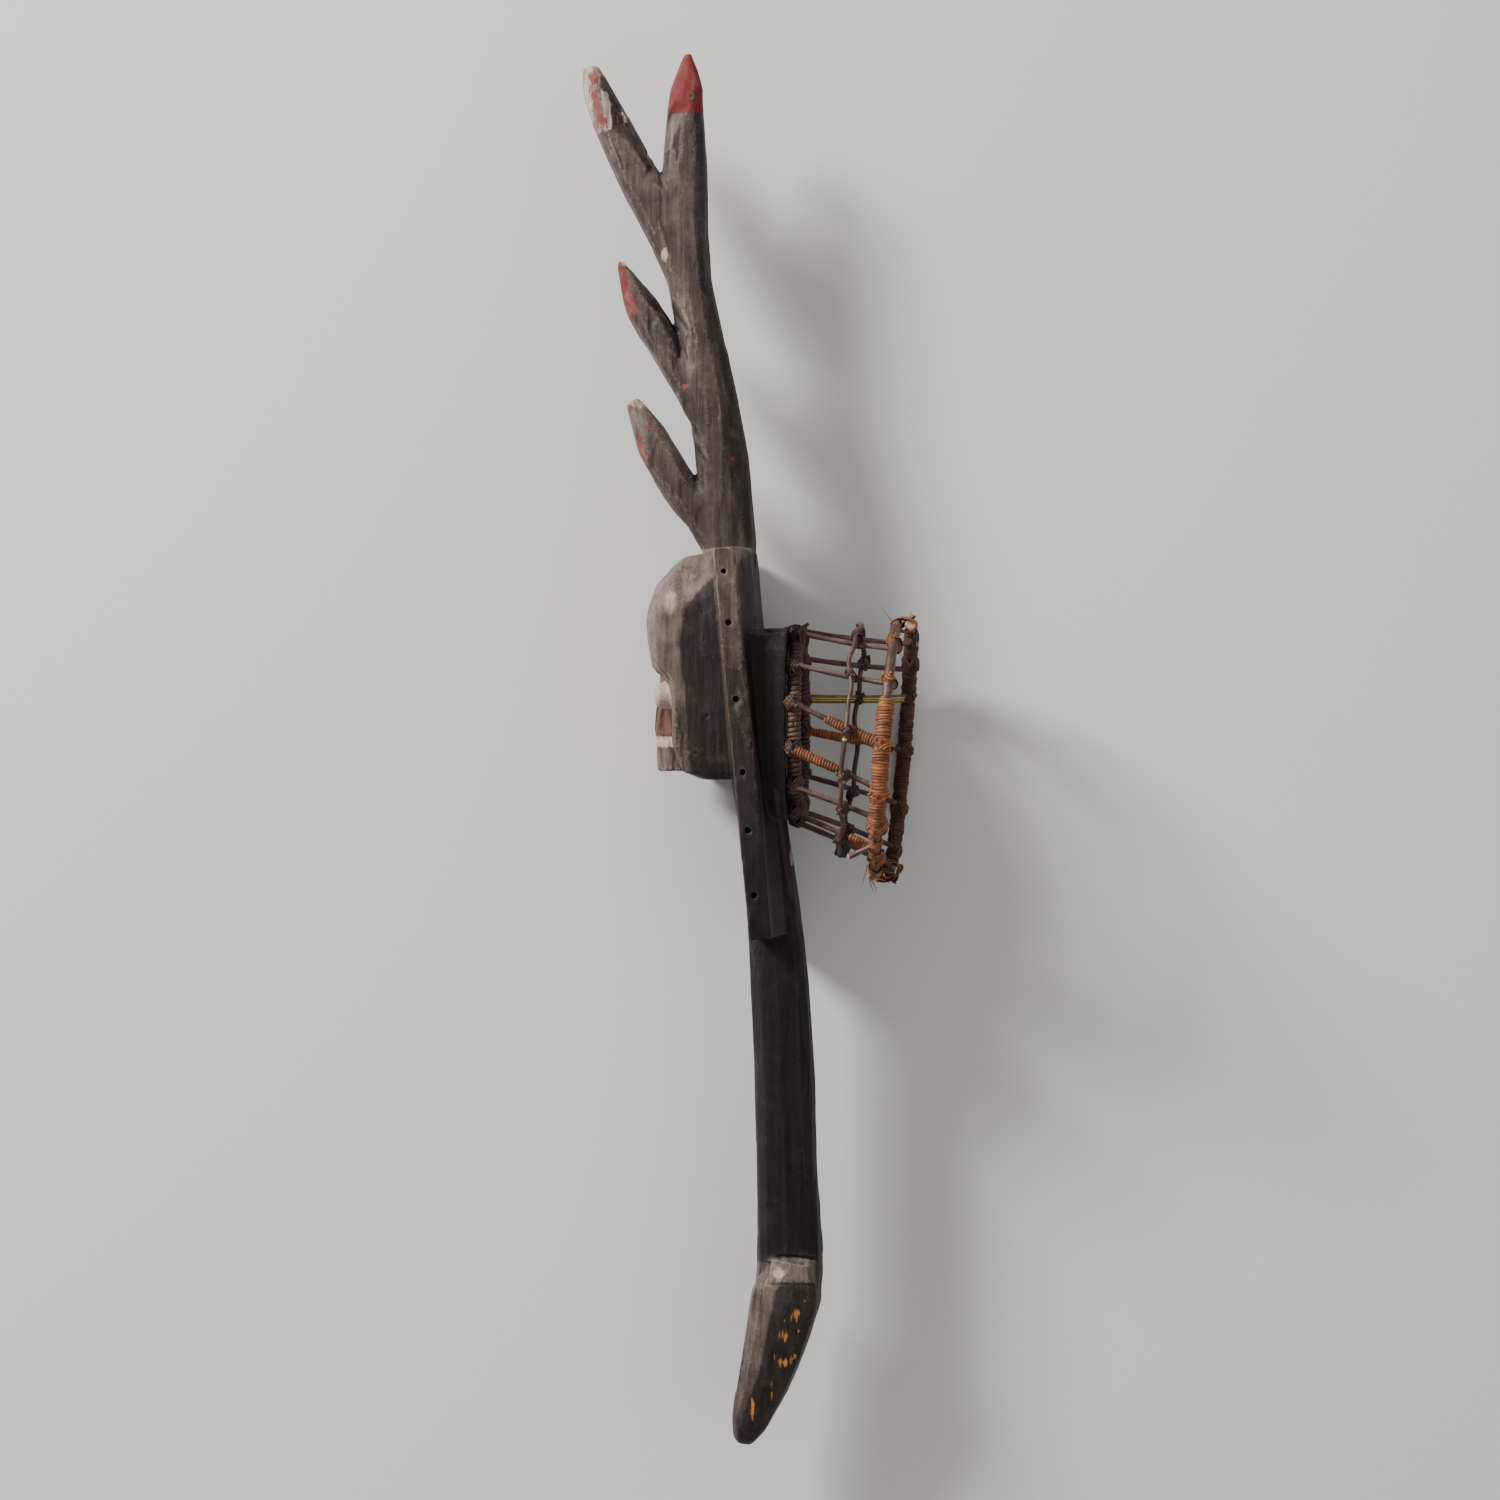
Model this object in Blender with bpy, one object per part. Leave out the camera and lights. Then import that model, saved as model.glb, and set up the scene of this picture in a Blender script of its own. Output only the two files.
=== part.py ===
# Water spirit headdress, lying on its side.
# It is built upright in its own frame first: +X from the face to the cap, +Y up the antler,
# +Z out of its near side. The last step lays it down on the three spots that it rests on.

import math

import bmesh
import bpy
import numpy as np
from mathutils import Matrix, Vector

# Fits: the gap between touching pieces, and how far a cutter runs past what it cuts
GAP = 0.0003
CUT_MARGIN = 0.003

# Antler, neck, shaft and foot: height, middle, half width and half depth at each station
TIP_HEIGHT = 0.609
STEM_ROWS = (
    (TIP_HEIGHT, -0.061, 0.0032, 0.0032),
    (0.585, -0.0615, 0.0123, 0.0105),
    (0.559, -0.063, 0.016, 0.014),
    (0.500, -0.064, 0.0205, 0.018),
    (0.430, -0.0625, 0.0208, 0.019),
    (0.385, -0.055, 0.0200, 0.019),
    (0.268, -0.033, 0.0233, 0.021),
    (0.176, -0.0246, 0.0240, 0.022),
    (0.110, -0.0245, 0.0240, 0.023),
    (-0.066, 0.0050, 0.0215, 0.026),
    (-0.125, 0.0128, 0.0225, 0.0265),
    (-0.189, 0.0185, 0.0255, 0.0265),
    (-0.277, 0.0240, 0.0268, 0.0265),
    (-0.365, 0.0262, 0.0270, 0.0265),
    (-0.450, 0.0292, 0.0293, 0.0262),
    (-0.482, 0.0262, 0.0298, 0.0250),
)
STEM_SIDES = 12
STEM_STEPS = 3
STEM_BOXINESS = 3.0

# Prongs: height, middle, half width and half depth from the tip down into the stem
PRONGS = {
    "upper": (
        (0.5985, -0.1475, 0.0068, 0.0065),
        (0.583, -0.1435, 0.0118, 0.0110),
        (0.546, -0.1276, 0.0165, 0.0145),
        (0.495, -0.1020, 0.0188, 0.0170),
        (0.453, -0.0792, 0.0195, 0.0180),
        (0.412, -0.0630, 0.0170, 0.0178),
    ),
    "middle": (
        (0.4265, -0.1215, 0.0026, 0.0028),
        (0.409, -0.1135, 0.0085, 0.0085),
        (0.385, -0.1010, 0.0152, 0.0130),
        (0.352, -0.0815, 0.0150, 0.0160),
        (0.317, -0.0615, 0.0140, 0.0178),
        (0.278, -0.0410, 0.0120, 0.0180),
    ),
    "lower": (
        (0.3035, -0.1105, 0.0060, 0.0058),
        (0.284, -0.1000, 0.0120, 0.0110),
        (0.262, -0.0890, 0.0160, 0.0140),
        (0.227, -0.0682, 0.0168, 0.0172),
        (0.192, -0.0435, 0.0150, 0.0190),
        (0.158, -0.0285, 0.0130, 0.0195),
    ),
}
PRONG_SIDES = 10
PRONG_STEPS = 2
PRONG_BOXINESS = 3.0

# Foot: a boxier end with a ledge where it starts
FOOT_ROWS = (
    (-0.4510, 0.0322, 0.0208, 0.0300),
    (-0.4710, 0.0290, 0.0282, 0.0345),
    (-0.4880, 0.0250, 0.0306, 0.0342),
    (-0.5240, 0.0163, 0.0275, 0.0312),
    (-0.5590, 0.0060, 0.0230, 0.0270),
    (-0.5900, -0.0048, 0.0174, 0.0205),
    (-0.6080, -0.0105, 0.0110, 0.0135),
    (-0.6145, -0.0122, 0.0045, 0.0055),
)
FOOT_SIDES = 12
FOOT_STEPS = 2
FOOT_BOXINESS = 3.6

# Board behind the head
BOARD_LENGTH = 0.338
BOARD_LEAN = math.radians(5.4)
BOARD_HALF_WIDTH = 0.081
BOARD_EDGE = 0.0195
BOARD_BEVEL = 0.0095
BOARD_BEVEL_WIDTH = 0.042
BOARD_FRONT = -0.0160
BOARD_CENTRE = 0.0005
BOARD_CHAMFER = 0.0012
PEG_HOLE_RADIUS = 0.0027
PEG_HOLE_DEPTH = 0.012
PEG_HOLE_SPOTS = (0.021, 0.065, 0.131, 0.194, 0.244, 0.300)
PEG_HOLE_PLACE = 0.42
PEG_HOLE_SIDES = 10

# Head: height, front, share of the half width and boxiness from the crown down to the chin
HEAD_ROWS = (
    (0.1690, -0.0360, 0.3007, 2.0),
    (0.1675, -0.0470, 0.4967, 2.0),
    (0.1625, -0.0615, 0.6797, 2.1),
    (0.1530, -0.0745, 0.8105, 2.2),
    (0.1400, -0.0850, 0.9020, 2.3),
    (0.1250, -0.0910, 0.9673, 2.4),
    (0.1080, -0.0935, 0.9935, 2.5),
    (0.0860, -0.0920, 1.0000, 2.6),
    (0.0700, -0.0890, 1.0000, 2.8),
    (0.0640, -0.0860, 1.0000, 3.0),
    (0.0600, -0.0800, 1.0000, 3.4),
    (0.0520, -0.0735, 1.0000, 4.0),
    (0.0400, -0.0705, 1.0000, 4.2),
    (0.0000, -0.0695, 0.9869, 4.0),
    (-0.0140, -0.0650, 0.9608, 3.6),
    (-0.0240, -0.0570, 0.9150, 3.2),
    (-0.0300, -0.0450, 0.8366, 2.8),
)
HEAD_STEP = 0.0045
HEAD_SIDE_START = -0.0580
HEAD_ROUND_DEPTH = 0.0120
CROWN_START = -0.0550
CROWN_ROUND_SHARE = 0.7
HEAD_SIDES = 18
HEAD_BACK = -0.0100

# Face: how far back its carved pieces reach into the head, then nose, eyes, mouth and teeth
FACE_BACK = -0.0600
NOSE_TOP = 0.066
NOSE_BOTTOM = 0.004
NOSE_FRONT = -0.0905
NOSE_BRIDGE_DROP = 0.0060
NOSE_MIDDLE_DROP = 0.0020
NOSE_TIP_RISE = 0.0060
NOSE_TIP_DROP = 0.0030
NOSE_UNDER = 0.0020
NOSE_CORNER = 0.0040
NOSE_HALF_TOP = 0.0070
NOSE_HALF_BOTTOM = 0.0130
EYE_HEIGHT = 0.0430
EYE_SPREAD = 0.0345
EYE_HALF_HEIGHT = 0.0115
EYE_HALF_WIDTH = 0.0150
EYE_FRONT = -0.0865
EYE_RIM = 0.0055
EYE_DOME = 0.0012
EYE_DOME_SHARE = 0.78
EYE_TOP_SHARE = 0.42
EYE_SIDES = 16
MOUTH_TOP = 0.0045
MOUTH_BOTTOM = -0.0225
MOUTH_FRONT = -0.0840
MOUTH_BACK = -0.0560
MOUTH_HALF_WIDTH = 0.0540
MOUTH_CORNER = 0.0100
TOOTH_NOTCH_WIDTH = 0.0022
TOOTH_NOTCH_DEPTH = 0.0035
TOOTH_NOTCH_TOP = -0.0105
TEETH_FRONT = 7
TEETH_SIDE = 2
SIDE_TOOTH_START = 0.0010
SIDE_TOOTH_PITCH = 0.0055

# Block between the board and the cap
BLOCK_TOP = 0.1010
BLOCK_BOTTOM = -0.0640
BLOCK_FRONT = -0.0030
BLOCK_BACK = 0.0297
BLOCK_HALF_WIDTH = 0.0640
BLOCK_CORNER = 0.0180
BLOCK_CORNER_CUT = 0.3

# Small ring against the block
SMALL_MIDDLE = (0.0370, 0.0176)
SMALL_HALF = (0.0760, 0.0580)
SMALL_RADIUS = 0.0062
SMALL_BUMP = 0.0008
SMALL_STEPS = 56
SMALL_SIDES = 8

# Middle ring round the ribs
MIDDLE_PLACE = 0.0820
MIDDLE_LEAN = 0.085
MIDDLE_RADIUS = 0.0034
MIDDLE_CLEAR = 0.0015
MIDDLE_STEPS = 40
MIDDLE_SIDES = 6

# Large ring, two hoops lying side by side with their ends crossing at the top and the bottom
LARGE_MIDDLE = -0.0044
LARGE_HALF = (0.1100, 0.0955)
LARGE_LEAN = 0.085
NEAR_PLACE = 0.1145
FAR_PLACE = 0.1255
NEAR_BARE = 0.0053
FAR_BARE = 0.0047
NEAR_WRAP = 0.0082
FAR_WRAP = 0.0070
NEAR_ENDS = (-100.0, 96.0)
FAR_ENDS = (84.0, 262.0)
NEAR_WRAPPED = (-42.0, 24.0)
FAR_WRAPPED = (118.0, 232.0)
WRAP_EASE = 3.0
NEAR_REACH = 80.0
HOOP_STEPS = 44
HOOP_SIDES = 8

# Ribs from the small ring to the large ring: angles at both rings, counted from the near side
RIB_RADIUS = 0.0030
RIB_SIDES = 6
RIB_STEPS = 4
RIB_BOW = 0.0016
RIB_START = BLOCK_BACK + GAP
RIB_INSET = 0.02
RIB_CLEAR = 0.0010
RIB_PAST_HOOP = 0.0040
RIBS = {
    "rib_top_near": (70.0, 60.0),
    "rib_high_near": (38.0, 34.0),
    "rib_mid_near": (13.0, 2.0),
    "rib_low_near": (-15.0, -20.0),
    "rib_under_near": (-40.0, -37.0),
    "rib_bottom_near": (-66.0, -60.0),
    "rib_bottom": (-90.0, -90.0),
    "rib_top_far": (104.0, 112.0),
    "rib_high_far": (135.0, 134.0),
    "rib_mid_far": (183.0, 180.0),
    "rib_low_far": (212.0, 209.0),
    "rib_bottom_far": (243.0, 238.0),
}
CANE_ANGLES = (163.0, 153.0)
CANE_HALF_WIDTH = 0.0042
CANE_HALF_THICKNESS = 0.0011

# Colours
WOOD = (0.035, 0.029, 0.026)
RATTAN = (0.16, 0.075, 0.045)
RAFFIA = (0.50, 0.25, 0.10)
CANE = (0.30, 0.24, 0.07)
WOOD_WEIGHT = 0.60
RATTAN_WEIGHT = 0.45

# Meshes: merge distance, angles past which an edge stays sharp, and what counts as an underside
MERGE = 0.00001
WOOD_SHARP = 38
CANE_SHARP = 50
LEAST_FACE = 1e-8
DOWNWARD = -0.5


def material(name, colour, roughness):
    made = bpy.data.materials.new(name)
    made.use_nodes = True
    shader = made.node_tree.nodes["Principled BSDF"]
    shader.inputs["Base Color"].default_value = (*colour, 1.0)
    shader.inputs["Roughness"].default_value = roughness
    shader.inputs["Metallic"].default_value = 0.0
    return made


def mesh_object(name, points, faces):
    mesh = bpy.data.meshes.new(name)
    mesh.from_pydata([tuple(p) for p in points], [], faces)
    mesh.update()
    made = bpy.data.objects.new(name, mesh)
    bpy.context.scene.collection.objects.link(made)
    fix_normals(made)
    return made


def fix_normals(obj):
    work = bmesh.new()
    work.from_mesh(obj.data)
    bmesh.ops.recalc_face_normals(work, faces=work.faces)
    if work.calc_volume(signed=True) < 0:
        bmesh.ops.reverse_faces(work, faces=work.faces)
    work.to_mesh(obj.data)
    work.free()


def loft(name, rings, closed=False):
    sides = len(rings[0])
    points = [p for ring in rings for p in ring]
    faces = []
    spans = len(rings) if closed else len(rings) - 1
    for i in range(spans):
        low = i * sides
        high = ((i + 1) % len(rings)) * sides
        for j in range(sides):
            k = (j + 1) % sides
            faces.append((low + j, low + k, high + k, high + j))
    if not closed:
        faces.append(tuple(range(sides)))
        last = (len(rings) - 1) * sides
        faces.append(tuple(range(last, last + sides)))
    return mesh_object(name, points, faces)


def smooth_rows(rows, steps):
    """Rows of numbers run through by a smooth curve, with the same count of steps in each span."""
    held = [np.array(r, float) for r in rows]
    out = []
    for i in range(len(held) - 1):
        before = held[max(i - 1, 0)]
        start = held[i]
        end = held[i + 1]
        after = held[min(i + 2, len(held) - 1)]
        for s in range(steps):
            t = s / steps
            lift = 0.5 * (end - before) * t
            lift = lift + (before - 2.5 * start + 2 * end - 0.5 * after) * t ** 2
            lift = lift + (1.5 * (start - end) + 0.5 * (after - before)) * t ** 3
            out.append(start + lift)
    out.append(held[-1])
    return out


def oval(angle, half_a, half_b, boxiness):
    c = math.cos(angle)
    s = math.sin(angle)
    power = 2.0 / boxiness
    return (
        math.copysign(abs(c) ** power, c) * half_a,
        math.copysign(abs(s) ** power, s) * half_b,
    )


def limb(name, rows, sides, steps, boxiness):
    """A carved branch in the upright plane, with each section square to its own run."""
    path = smooth_rows(rows, steps)
    rings = []
    for i, row in enumerate(path):
        before = path[max(i - 1, 0)]
        after = path[min(i + 1, len(path) - 1)]
        run = np.array([after[1] - before[1], after[0] - before[0]])
        run = run / np.linalg.norm(run)
        across = np.array([-run[1], run[0]])
        ring = []
        for k in range(sides):
            a, b = oval(2 * math.pi * k / sides, row[2], row[3], boxiness)
            ring.append((row[1] + across[0] * a, row[0] + across[1] * a, b))
        rings.append(ring)
    return loft(name, rings)


def combine(target, tool, operation):
    change = target.modifiers.new(operation.lower(), "BOOLEAN")
    change.operation = operation
    change.solver = "EXACT"
    change.object = tool
    bpy.context.view_layer.update()
    graph = bpy.context.evaluated_depsgraph_get()
    made = bpy.data.meshes.new_from_object(target.evaluated_get(graph))
    target.modifiers.clear()
    old = target.data
    target.data = made
    bpy.data.meshes.remove(old)
    bpy.data.objects.remove(tool)


def tidy(obj):
    work = bmesh.new()
    work.from_mesh(obj.data)
    bmesh.ops.remove_doubles(work, verts=work.verts, dist=MERGE)
    bmesh.ops.dissolve_degenerate(work, dist=MERGE, edges=work.edges)
    bmesh.ops.triangulate(work, faces=work.faces)
    bmesh.ops.recalc_face_normals(work, faces=work.faces)
    work.to_mesh(obj.data)
    work.free()


def board_matrix():
    """The board's own frame: +X out of its back, +Y up its length, and its middle on the front."""
    turn = Matrix.Rotation(BOARD_LEAN, 4, "Z")
    return Matrix.Translation((BOARD_FRONT, BOARD_CENTRE, 0.0)) @ turn


def board():
    back = BOARD_EDGE + BOARD_BEVEL
    inner = BOARD_HALF_WIDTH - BOARD_BEVEL_WIDTH
    c = BOARD_CHAMFER
    w = BOARD_HALF_WIDTH
    section = [
        (0.0, -w + c),
        (0.0, w - c),
        (c, w),
        (BOARD_EDGE - c, w),
        (BOARD_EDGE, w - c),
        (back, inner),
        (back, -inner),
        (BOARD_EDGE, -w + c),
        (BOARD_EDGE - c, -w),
        (c, -w),
    ]
    half = BOARD_LENGTH / 2
    rings = [[(x, y, z) for x, z in section] for y in (-half, half)]
    made = loft("board", rings)
    made.data.transform(board_matrix())
    return made


def head():
    rings = []
    for height, front, share, boxiness in HEAD_ROWS:
        half = share * (BOARD_HALF_WIDTH - HEAD_STEP)
        if front < CROWN_START:
            start = min(HEAD_SIDE_START, front + HEAD_ROUND_DEPTH)
        else:
            start = front * CROWN_ROUND_SHARE
        ring = [(HEAD_BACK, height, -half), (start, height, -half)]
        for k in range(1, HEAD_SIDES):
            turn = math.pi * (k / HEAD_SIDES - 0.5)
            a, b = oval(turn, start - front, half, boxiness)
            ring.append((start - a, height, b))
        ring += [(start, height, half), (HEAD_BACK, height, half)]
        rings.append(ring)
    return loft("head", rings)


def eye(side):
    rings = []
    for front, size in (
        (FACE_BACK, 1.0),
        (EYE_FRONT + EYE_RIM, 1.0),
        (EYE_FRONT + EYE_DOME, EYE_DOME_SHARE),
        (EYE_FRONT, EYE_TOP_SHARE),
    ):
        ring = []
        for k in range(EYE_SIDES):
            turn = 2 * math.pi * k / EYE_SIDES
            ring.append(
                (
                    front,
                    EYE_HEIGHT + EYE_HALF_HEIGHT * size * math.sin(turn),
                    side * EYE_SPREAD + EYE_HALF_WIDTH * size * math.cos(turn),
                )
            )
        rings.append(ring)
    return loft("eye", rings)


def nose():
    rings = []
    middle_height = (NOSE_TOP + NOSE_BOTTOM) / 2
    middle_half = (NOSE_HALF_TOP + NOSE_HALF_BOTTOM) / 2
    for height, front, half in (
        (NOSE_TOP, NOSE_FRONT + NOSE_BRIDGE_DROP, NOSE_HALF_TOP),
        (middle_height, NOSE_FRONT + NOSE_MIDDLE_DROP, middle_half),
        (NOSE_BOTTOM + NOSE_TIP_RISE, NOSE_FRONT, NOSE_HALF_BOTTOM),
        (NOSE_BOTTOM - NOSE_UNDER, NOSE_FRONT + NOSE_TIP_DROP, NOSE_HALF_BOTTOM * 0.9),
    ):
        rings.append(
            [
                (FACE_BACK, height, -half * 1.25),
                (front + NOSE_CORNER, height, -half),
                (front, height, -half * 0.45),
                (front, height, half * 0.45),
                (front + NOSE_CORNER, height, half),
                (FACE_BACK, height, half * 1.25),
            ]
        )
    return loft("nose", rings)


def mouth():
    c = MOUTH_CORNER
    w = MOUTH_HALF_WIDTH
    outline = [
        (MOUTH_BACK, -w),
        (MOUTH_FRONT + c, -w),
        (MOUTH_FRONT, -w + c),
        (MOUTH_FRONT, w - c),
        (MOUTH_FRONT + c, w),
        (MOUTH_BACK, w),
    ]
    rings = [[(x, y, z) for x, z in outline] for y in (MOUTH_BOTTOM, MOUTH_TOP)]
    return loft("mouth", rings)


def box(name, low, high):
    x0, y0, z0 = low
    x1, y1, z1 = high
    return loft(
        name,
        [
            [(x0, y0, z), (x1, y0, z), (x1, y1, z), (x0, y1, z)]
            for z in (z0, z1)
        ],
    )


def cut_teeth(body):
    low = MOUTH_BOTTOM - CUT_MARGIN
    run = 2 * (MOUTH_HALF_WIDTH - MOUTH_CORNER)
    half = TOOTH_NOTCH_WIDTH / 2
    for k in range(TEETH_FRONT):
        z = run * (k / (TEETH_FRONT - 1) - 0.5)
        notch = box(
            "notch",
            (MOUTH_FRONT - CUT_MARGIN, low, z - half),
            (MOUTH_FRONT + TOOTH_NOTCH_DEPTH, TOOTH_NOTCH_TOP, z + half),
        )
        combine(body, notch, "DIFFERENCE")
    for side in (-1, 1):
        edge = side * (MOUTH_HALF_WIDTH - TOOTH_NOTCH_DEPTH)
        outside = side * (MOUTH_HALF_WIDTH + CUT_MARGIN)
        for k in range(TEETH_SIDE):
            x = MOUTH_FRONT + MOUTH_CORNER + SIDE_TOOTH_START + SIDE_TOOTH_PITCH * k
            notch = box(
                "notch",
                (x - half, low, min(edge, outside)),
                (x + half, TOOTH_NOTCH_TOP, max(edge, outside)),
            )
            combine(body, notch, "DIFFERENCE")


def cut_peg_holes(body):
    place = board_matrix()
    for side in (-1, 1):
        for spot in PEG_HOLE_SPOTS:
            rings = []
            for z in (BOARD_HALF_WIDTH - PEG_HOLE_DEPTH, BOARD_HALF_WIDTH + CUT_MARGIN):
                ring = []
                for k in range(PEG_HOLE_SIDES):
                    turn = 2 * math.pi * k / PEG_HOLE_SIDES
                    x = BOARD_EDGE * PEG_HOLE_PLACE + PEG_HOLE_RADIUS * math.cos(turn)
                    y = BOARD_LENGTH / 2 - spot + PEG_HOLE_RADIUS * math.sin(turn)
                    ring.append((x, y, side * z))
                rings.append(ring)
            hole = loft("peg_hole", rings)
            hole.data.transform(place)
            fix_normals(hole)
            combine(body, hole, "DIFFERENCE")


def block():
    c = BLOCK_CORNER
    cut = BLOCK_CORNER * BLOCK_CORNER_CUT
    w = BLOCK_HALF_WIDTH
    corners = [
        (BLOCK_BOTTOM, -w + c),
        (BLOCK_BOTTOM, w - c),
        (BLOCK_BOTTOM + cut, w - cut),
        (BLOCK_BOTTOM + c, w),
        (BLOCK_TOP - c, w),
        (BLOCK_TOP - cut, w - cut),
        (BLOCK_TOP, w - c),
        (BLOCK_TOP, -w + c),
        (BLOCK_TOP - cut, -w + cut),
        (BLOCK_TOP - c, -w),
        (BLOCK_BOTTOM + c, -w),
        (BLOCK_BOTTOM + cut, -w + cut),
    ]
    rings = [[(x, y, z) for y, z in corners] for x in (BLOCK_FRONT, BLOCK_BACK)]
    return loft("block", rings)


def carved_body():
    body = limb("carved_body", STEM_ROWS, STEM_SIDES, STEM_STEPS, STEM_BOXINESS)
    for name, rows in PRONGS.items():
        combine(body, limb(name, rows, PRONG_SIDES, PRONG_STEPS, PRONG_BOXINESS), "UNION")
    combine(body, limb("foot", FOOT_ROWS, FOOT_SIDES, FOOT_STEPS, FOOT_BOXINESS), "UNION")
    combine(body, block(), "UNION")
    shell = board()
    combine(shell, head(), "UNION")
    for side in (-1, 1):
        combine(shell, eye(side), "UNION")
    combine(shell, nose(), "UNION")
    combine(shell, mouth(), "UNION")
    combine(body, shell, "UNION")
    cut_teeth(body)
    cut_peg_holes(body)
    tidy(body)
    return body


def ring_point(angle, place, lean, middle, half, out=0.0):
    """A spot on an oval ring that leans in the upright plane, moved outward square to the oval."""
    s = math.sin(angle)
    c = math.cos(angle)
    slope = np.array([s / half[0], c / half[1]])
    slope = slope / np.linalg.norm(slope)
    y = middle + half[0] * s + out * slope[0]
    z = half[1] * c + out * slope[1]
    return np.array([place + lean * (y - middle), y, z])


def tube(name, path, radii, sides, closed=False):
    rings = []
    count = len(path)
    turn_from = None
    for i, spot in enumerate(path):
        before = path[(i - 1) % count] if closed else path[max(i - 1, 0)]
        after = path[(i + 1) % count] if closed else path[min(i + 1, count - 1)]
        run = (after - before) / np.linalg.norm(after - before)
        side = np.cross(run, [1.0, 0.0, 0.0]) if turn_from is None else turn_from
        side = side - run * np.dot(side, run)
        side = side / np.linalg.norm(side)
        up = np.cross(run, side)
        turn_from = None if closed else side
        ring = []
        for k in range(sides):
            turn = 2 * math.pi * (k + 0.5) / sides
            ring.append(spot + radii[i] * (side * math.cos(turn) + up * math.sin(turn)))
        rings.append(ring)
    return loft(name, rings, closed)


def small_ring():
    place, middle = SMALL_MIDDLE
    path = []
    radii = []
    for i in range(SMALL_STEPS):
        path.append(ring_point(2 * math.pi * i / SMALL_STEPS, place, 0.0, middle, SMALL_HALF))
        radii.append(SMALL_RADIUS + (SMALL_BUMP if i % 2 else 0.0))
    return tube("small_ring", path, radii, SMALL_SIDES, True)


def hoop_radius(angle, bare, wrap, wrapped):
    """The hoop's own radius, or that of its windings where it is wound."""
    low, high = wrapped
    near_low = min(max((angle - low) / WRAP_EASE, 0.0), 1.0)
    near_high = min(max((high - angle) / WRAP_EASE, 0.0), 1.0)
    return bare + (wrap - bare) * min(near_low, near_high)


def hoop(name, place, ends, bare, wrap, wrapped):
    path = []
    radii = []
    for i in range(HOOP_STEPS + 1):
        angle = ends[0] + (ends[1] - ends[0]) * i / HOOP_STEPS
        path.append(
            ring_point(math.radians(angle), place, LARGE_LEAN, LARGE_MIDDLE, LARGE_HALF)
        )
        radii.append(hoop_radius(angle, bare, wrap, wrapped))
    return tube(name, path, radii, HOOP_SIDES)


def rib_ends(angles, thickness):
    """Both ends of a rib: outside the small ring, and inside the large hoop that it crosses."""
    small, large = angles
    place, middle = SMALL_MIDDLE
    clear = SMALL_RADIUS + SMALL_BUMP + thickness + GAP
    start = ring_point(math.radians(small), place, 0.0, middle, SMALL_HALF, clear)
    if abs(large) < NEAR_REACH:
        local = hoop_radius(large, NEAR_BARE, NEAR_WRAP, NEAR_WRAPPED)
        plane = NEAR_PLACE
    else:
        local = hoop_radius(large, FAR_BARE, FAR_WRAP, FAR_WRAPPED)
        plane = FAR_PLACE
    clear = local + thickness + RIB_CLEAR
    end = ring_point(math.radians(large), plane, LARGE_LEAN, LARGE_MIDDLE, LARGE_HALF, -clear)
    return start, end


def rib_point(start, end, along, bow):
    spot = start + (end - start) * along
    middle = np.array([0.0, (SMALL_MIDDLE[1] + LARGE_MIDDLE) / 2, 0.0])
    out = spot - middle
    out[0] = 0.0
    out = out / np.linalg.norm(out)
    return spot - out * bow * 4 * along * (1 - along)


def rib_span(start, end):
    """Where a rod starts and stops, as shares of the run from the small ring to the large one."""
    reach = end[0] - start[0]
    return (RIB_START - start[0]) / reach + RIB_INSET, 1 + RIB_PAST_HOOP / reach


def rib(name, angles):
    start, end = rib_ends(angles, RIB_RADIUS)
    first, last = rib_span(start, end)
    path = []
    for i in range(RIB_STEPS + 1):
        along = first + (last - first) * i / RIB_STEPS
        path.append(rib_point(start, end, along, RIB_BOW))
    return tube(name, path, [RIB_RADIUS] * len(path), RIB_SIDES)


def cane_strip():
    start, end = rib_ends(CANE_ANGLES, CANE_HALF_THICKNESS)
    first, last = rib_span(start, end)
    rings = []
    for along in (first, (first + last) / 2, last):
        spot = rib_point(start, end, along, RIB_BOW)
        run = (end - start) / np.linalg.norm(end - start)
        out = np.array([0.0, spot[1] - SMALL_MIDDLE[1], spot[2]])
        out = out - run * np.dot(out, run)
        out = out / np.linalg.norm(out)
        wide = np.cross(run, out)
        ring = []
        for a, b in ((-1, -1), (1, -1), (1, 1), (-1, 1)):
            ring.append(spot + wide * a * CANE_HALF_WIDTH + out * b * CANE_HALF_THICKNESS)
        rings.append(ring)
    return loft("cane_strip", rings)


def middle_ring():
    """A thin ring laid round the outside of the ribs, where the cone is as wide as they make it."""
    path = []
    for i in range(MIDDLE_STEPS):
        turn = 360.0 * i / MIDDLE_STEPS
        angle = math.radians(turn)
        low, high = [
            ring_point(angle, *row)
            for row in (
                (SMALL_MIDDLE[0], 0.0, SMALL_MIDDLE[1], SMALL_HALF, SMALL_RADIUS + SMALL_BUMP),
                (NEAR_PLACE, LARGE_LEAN, LARGE_MIDDLE, LARGE_HALF, -NEAR_BARE),
            )
        ]
        along = 0.5
        for _ in range(6):
            spot = low + (high - low) * along
            wish = MIDDLE_PLACE + MIDDLE_LEAN * spot[1]
            along += (wish - spot[0]) / (high[0] - low[0])
        spot = low + (high - low) * along
        centre = np.array([spot[0], (SMALL_MIDDLE[1] + LARGE_MIDDLE) / 2, 0.0])
        out = (spot - centre) / np.linalg.norm(spot - centre)
        path.append(spot + out * (RIB_RADIUS + MIDDLE_RADIUS + MIDDLE_CLEAR))
    return tube("middle_ring", path, [MIDDLE_RADIUS] * len(path), MIDDLE_SIDES, True)


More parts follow.
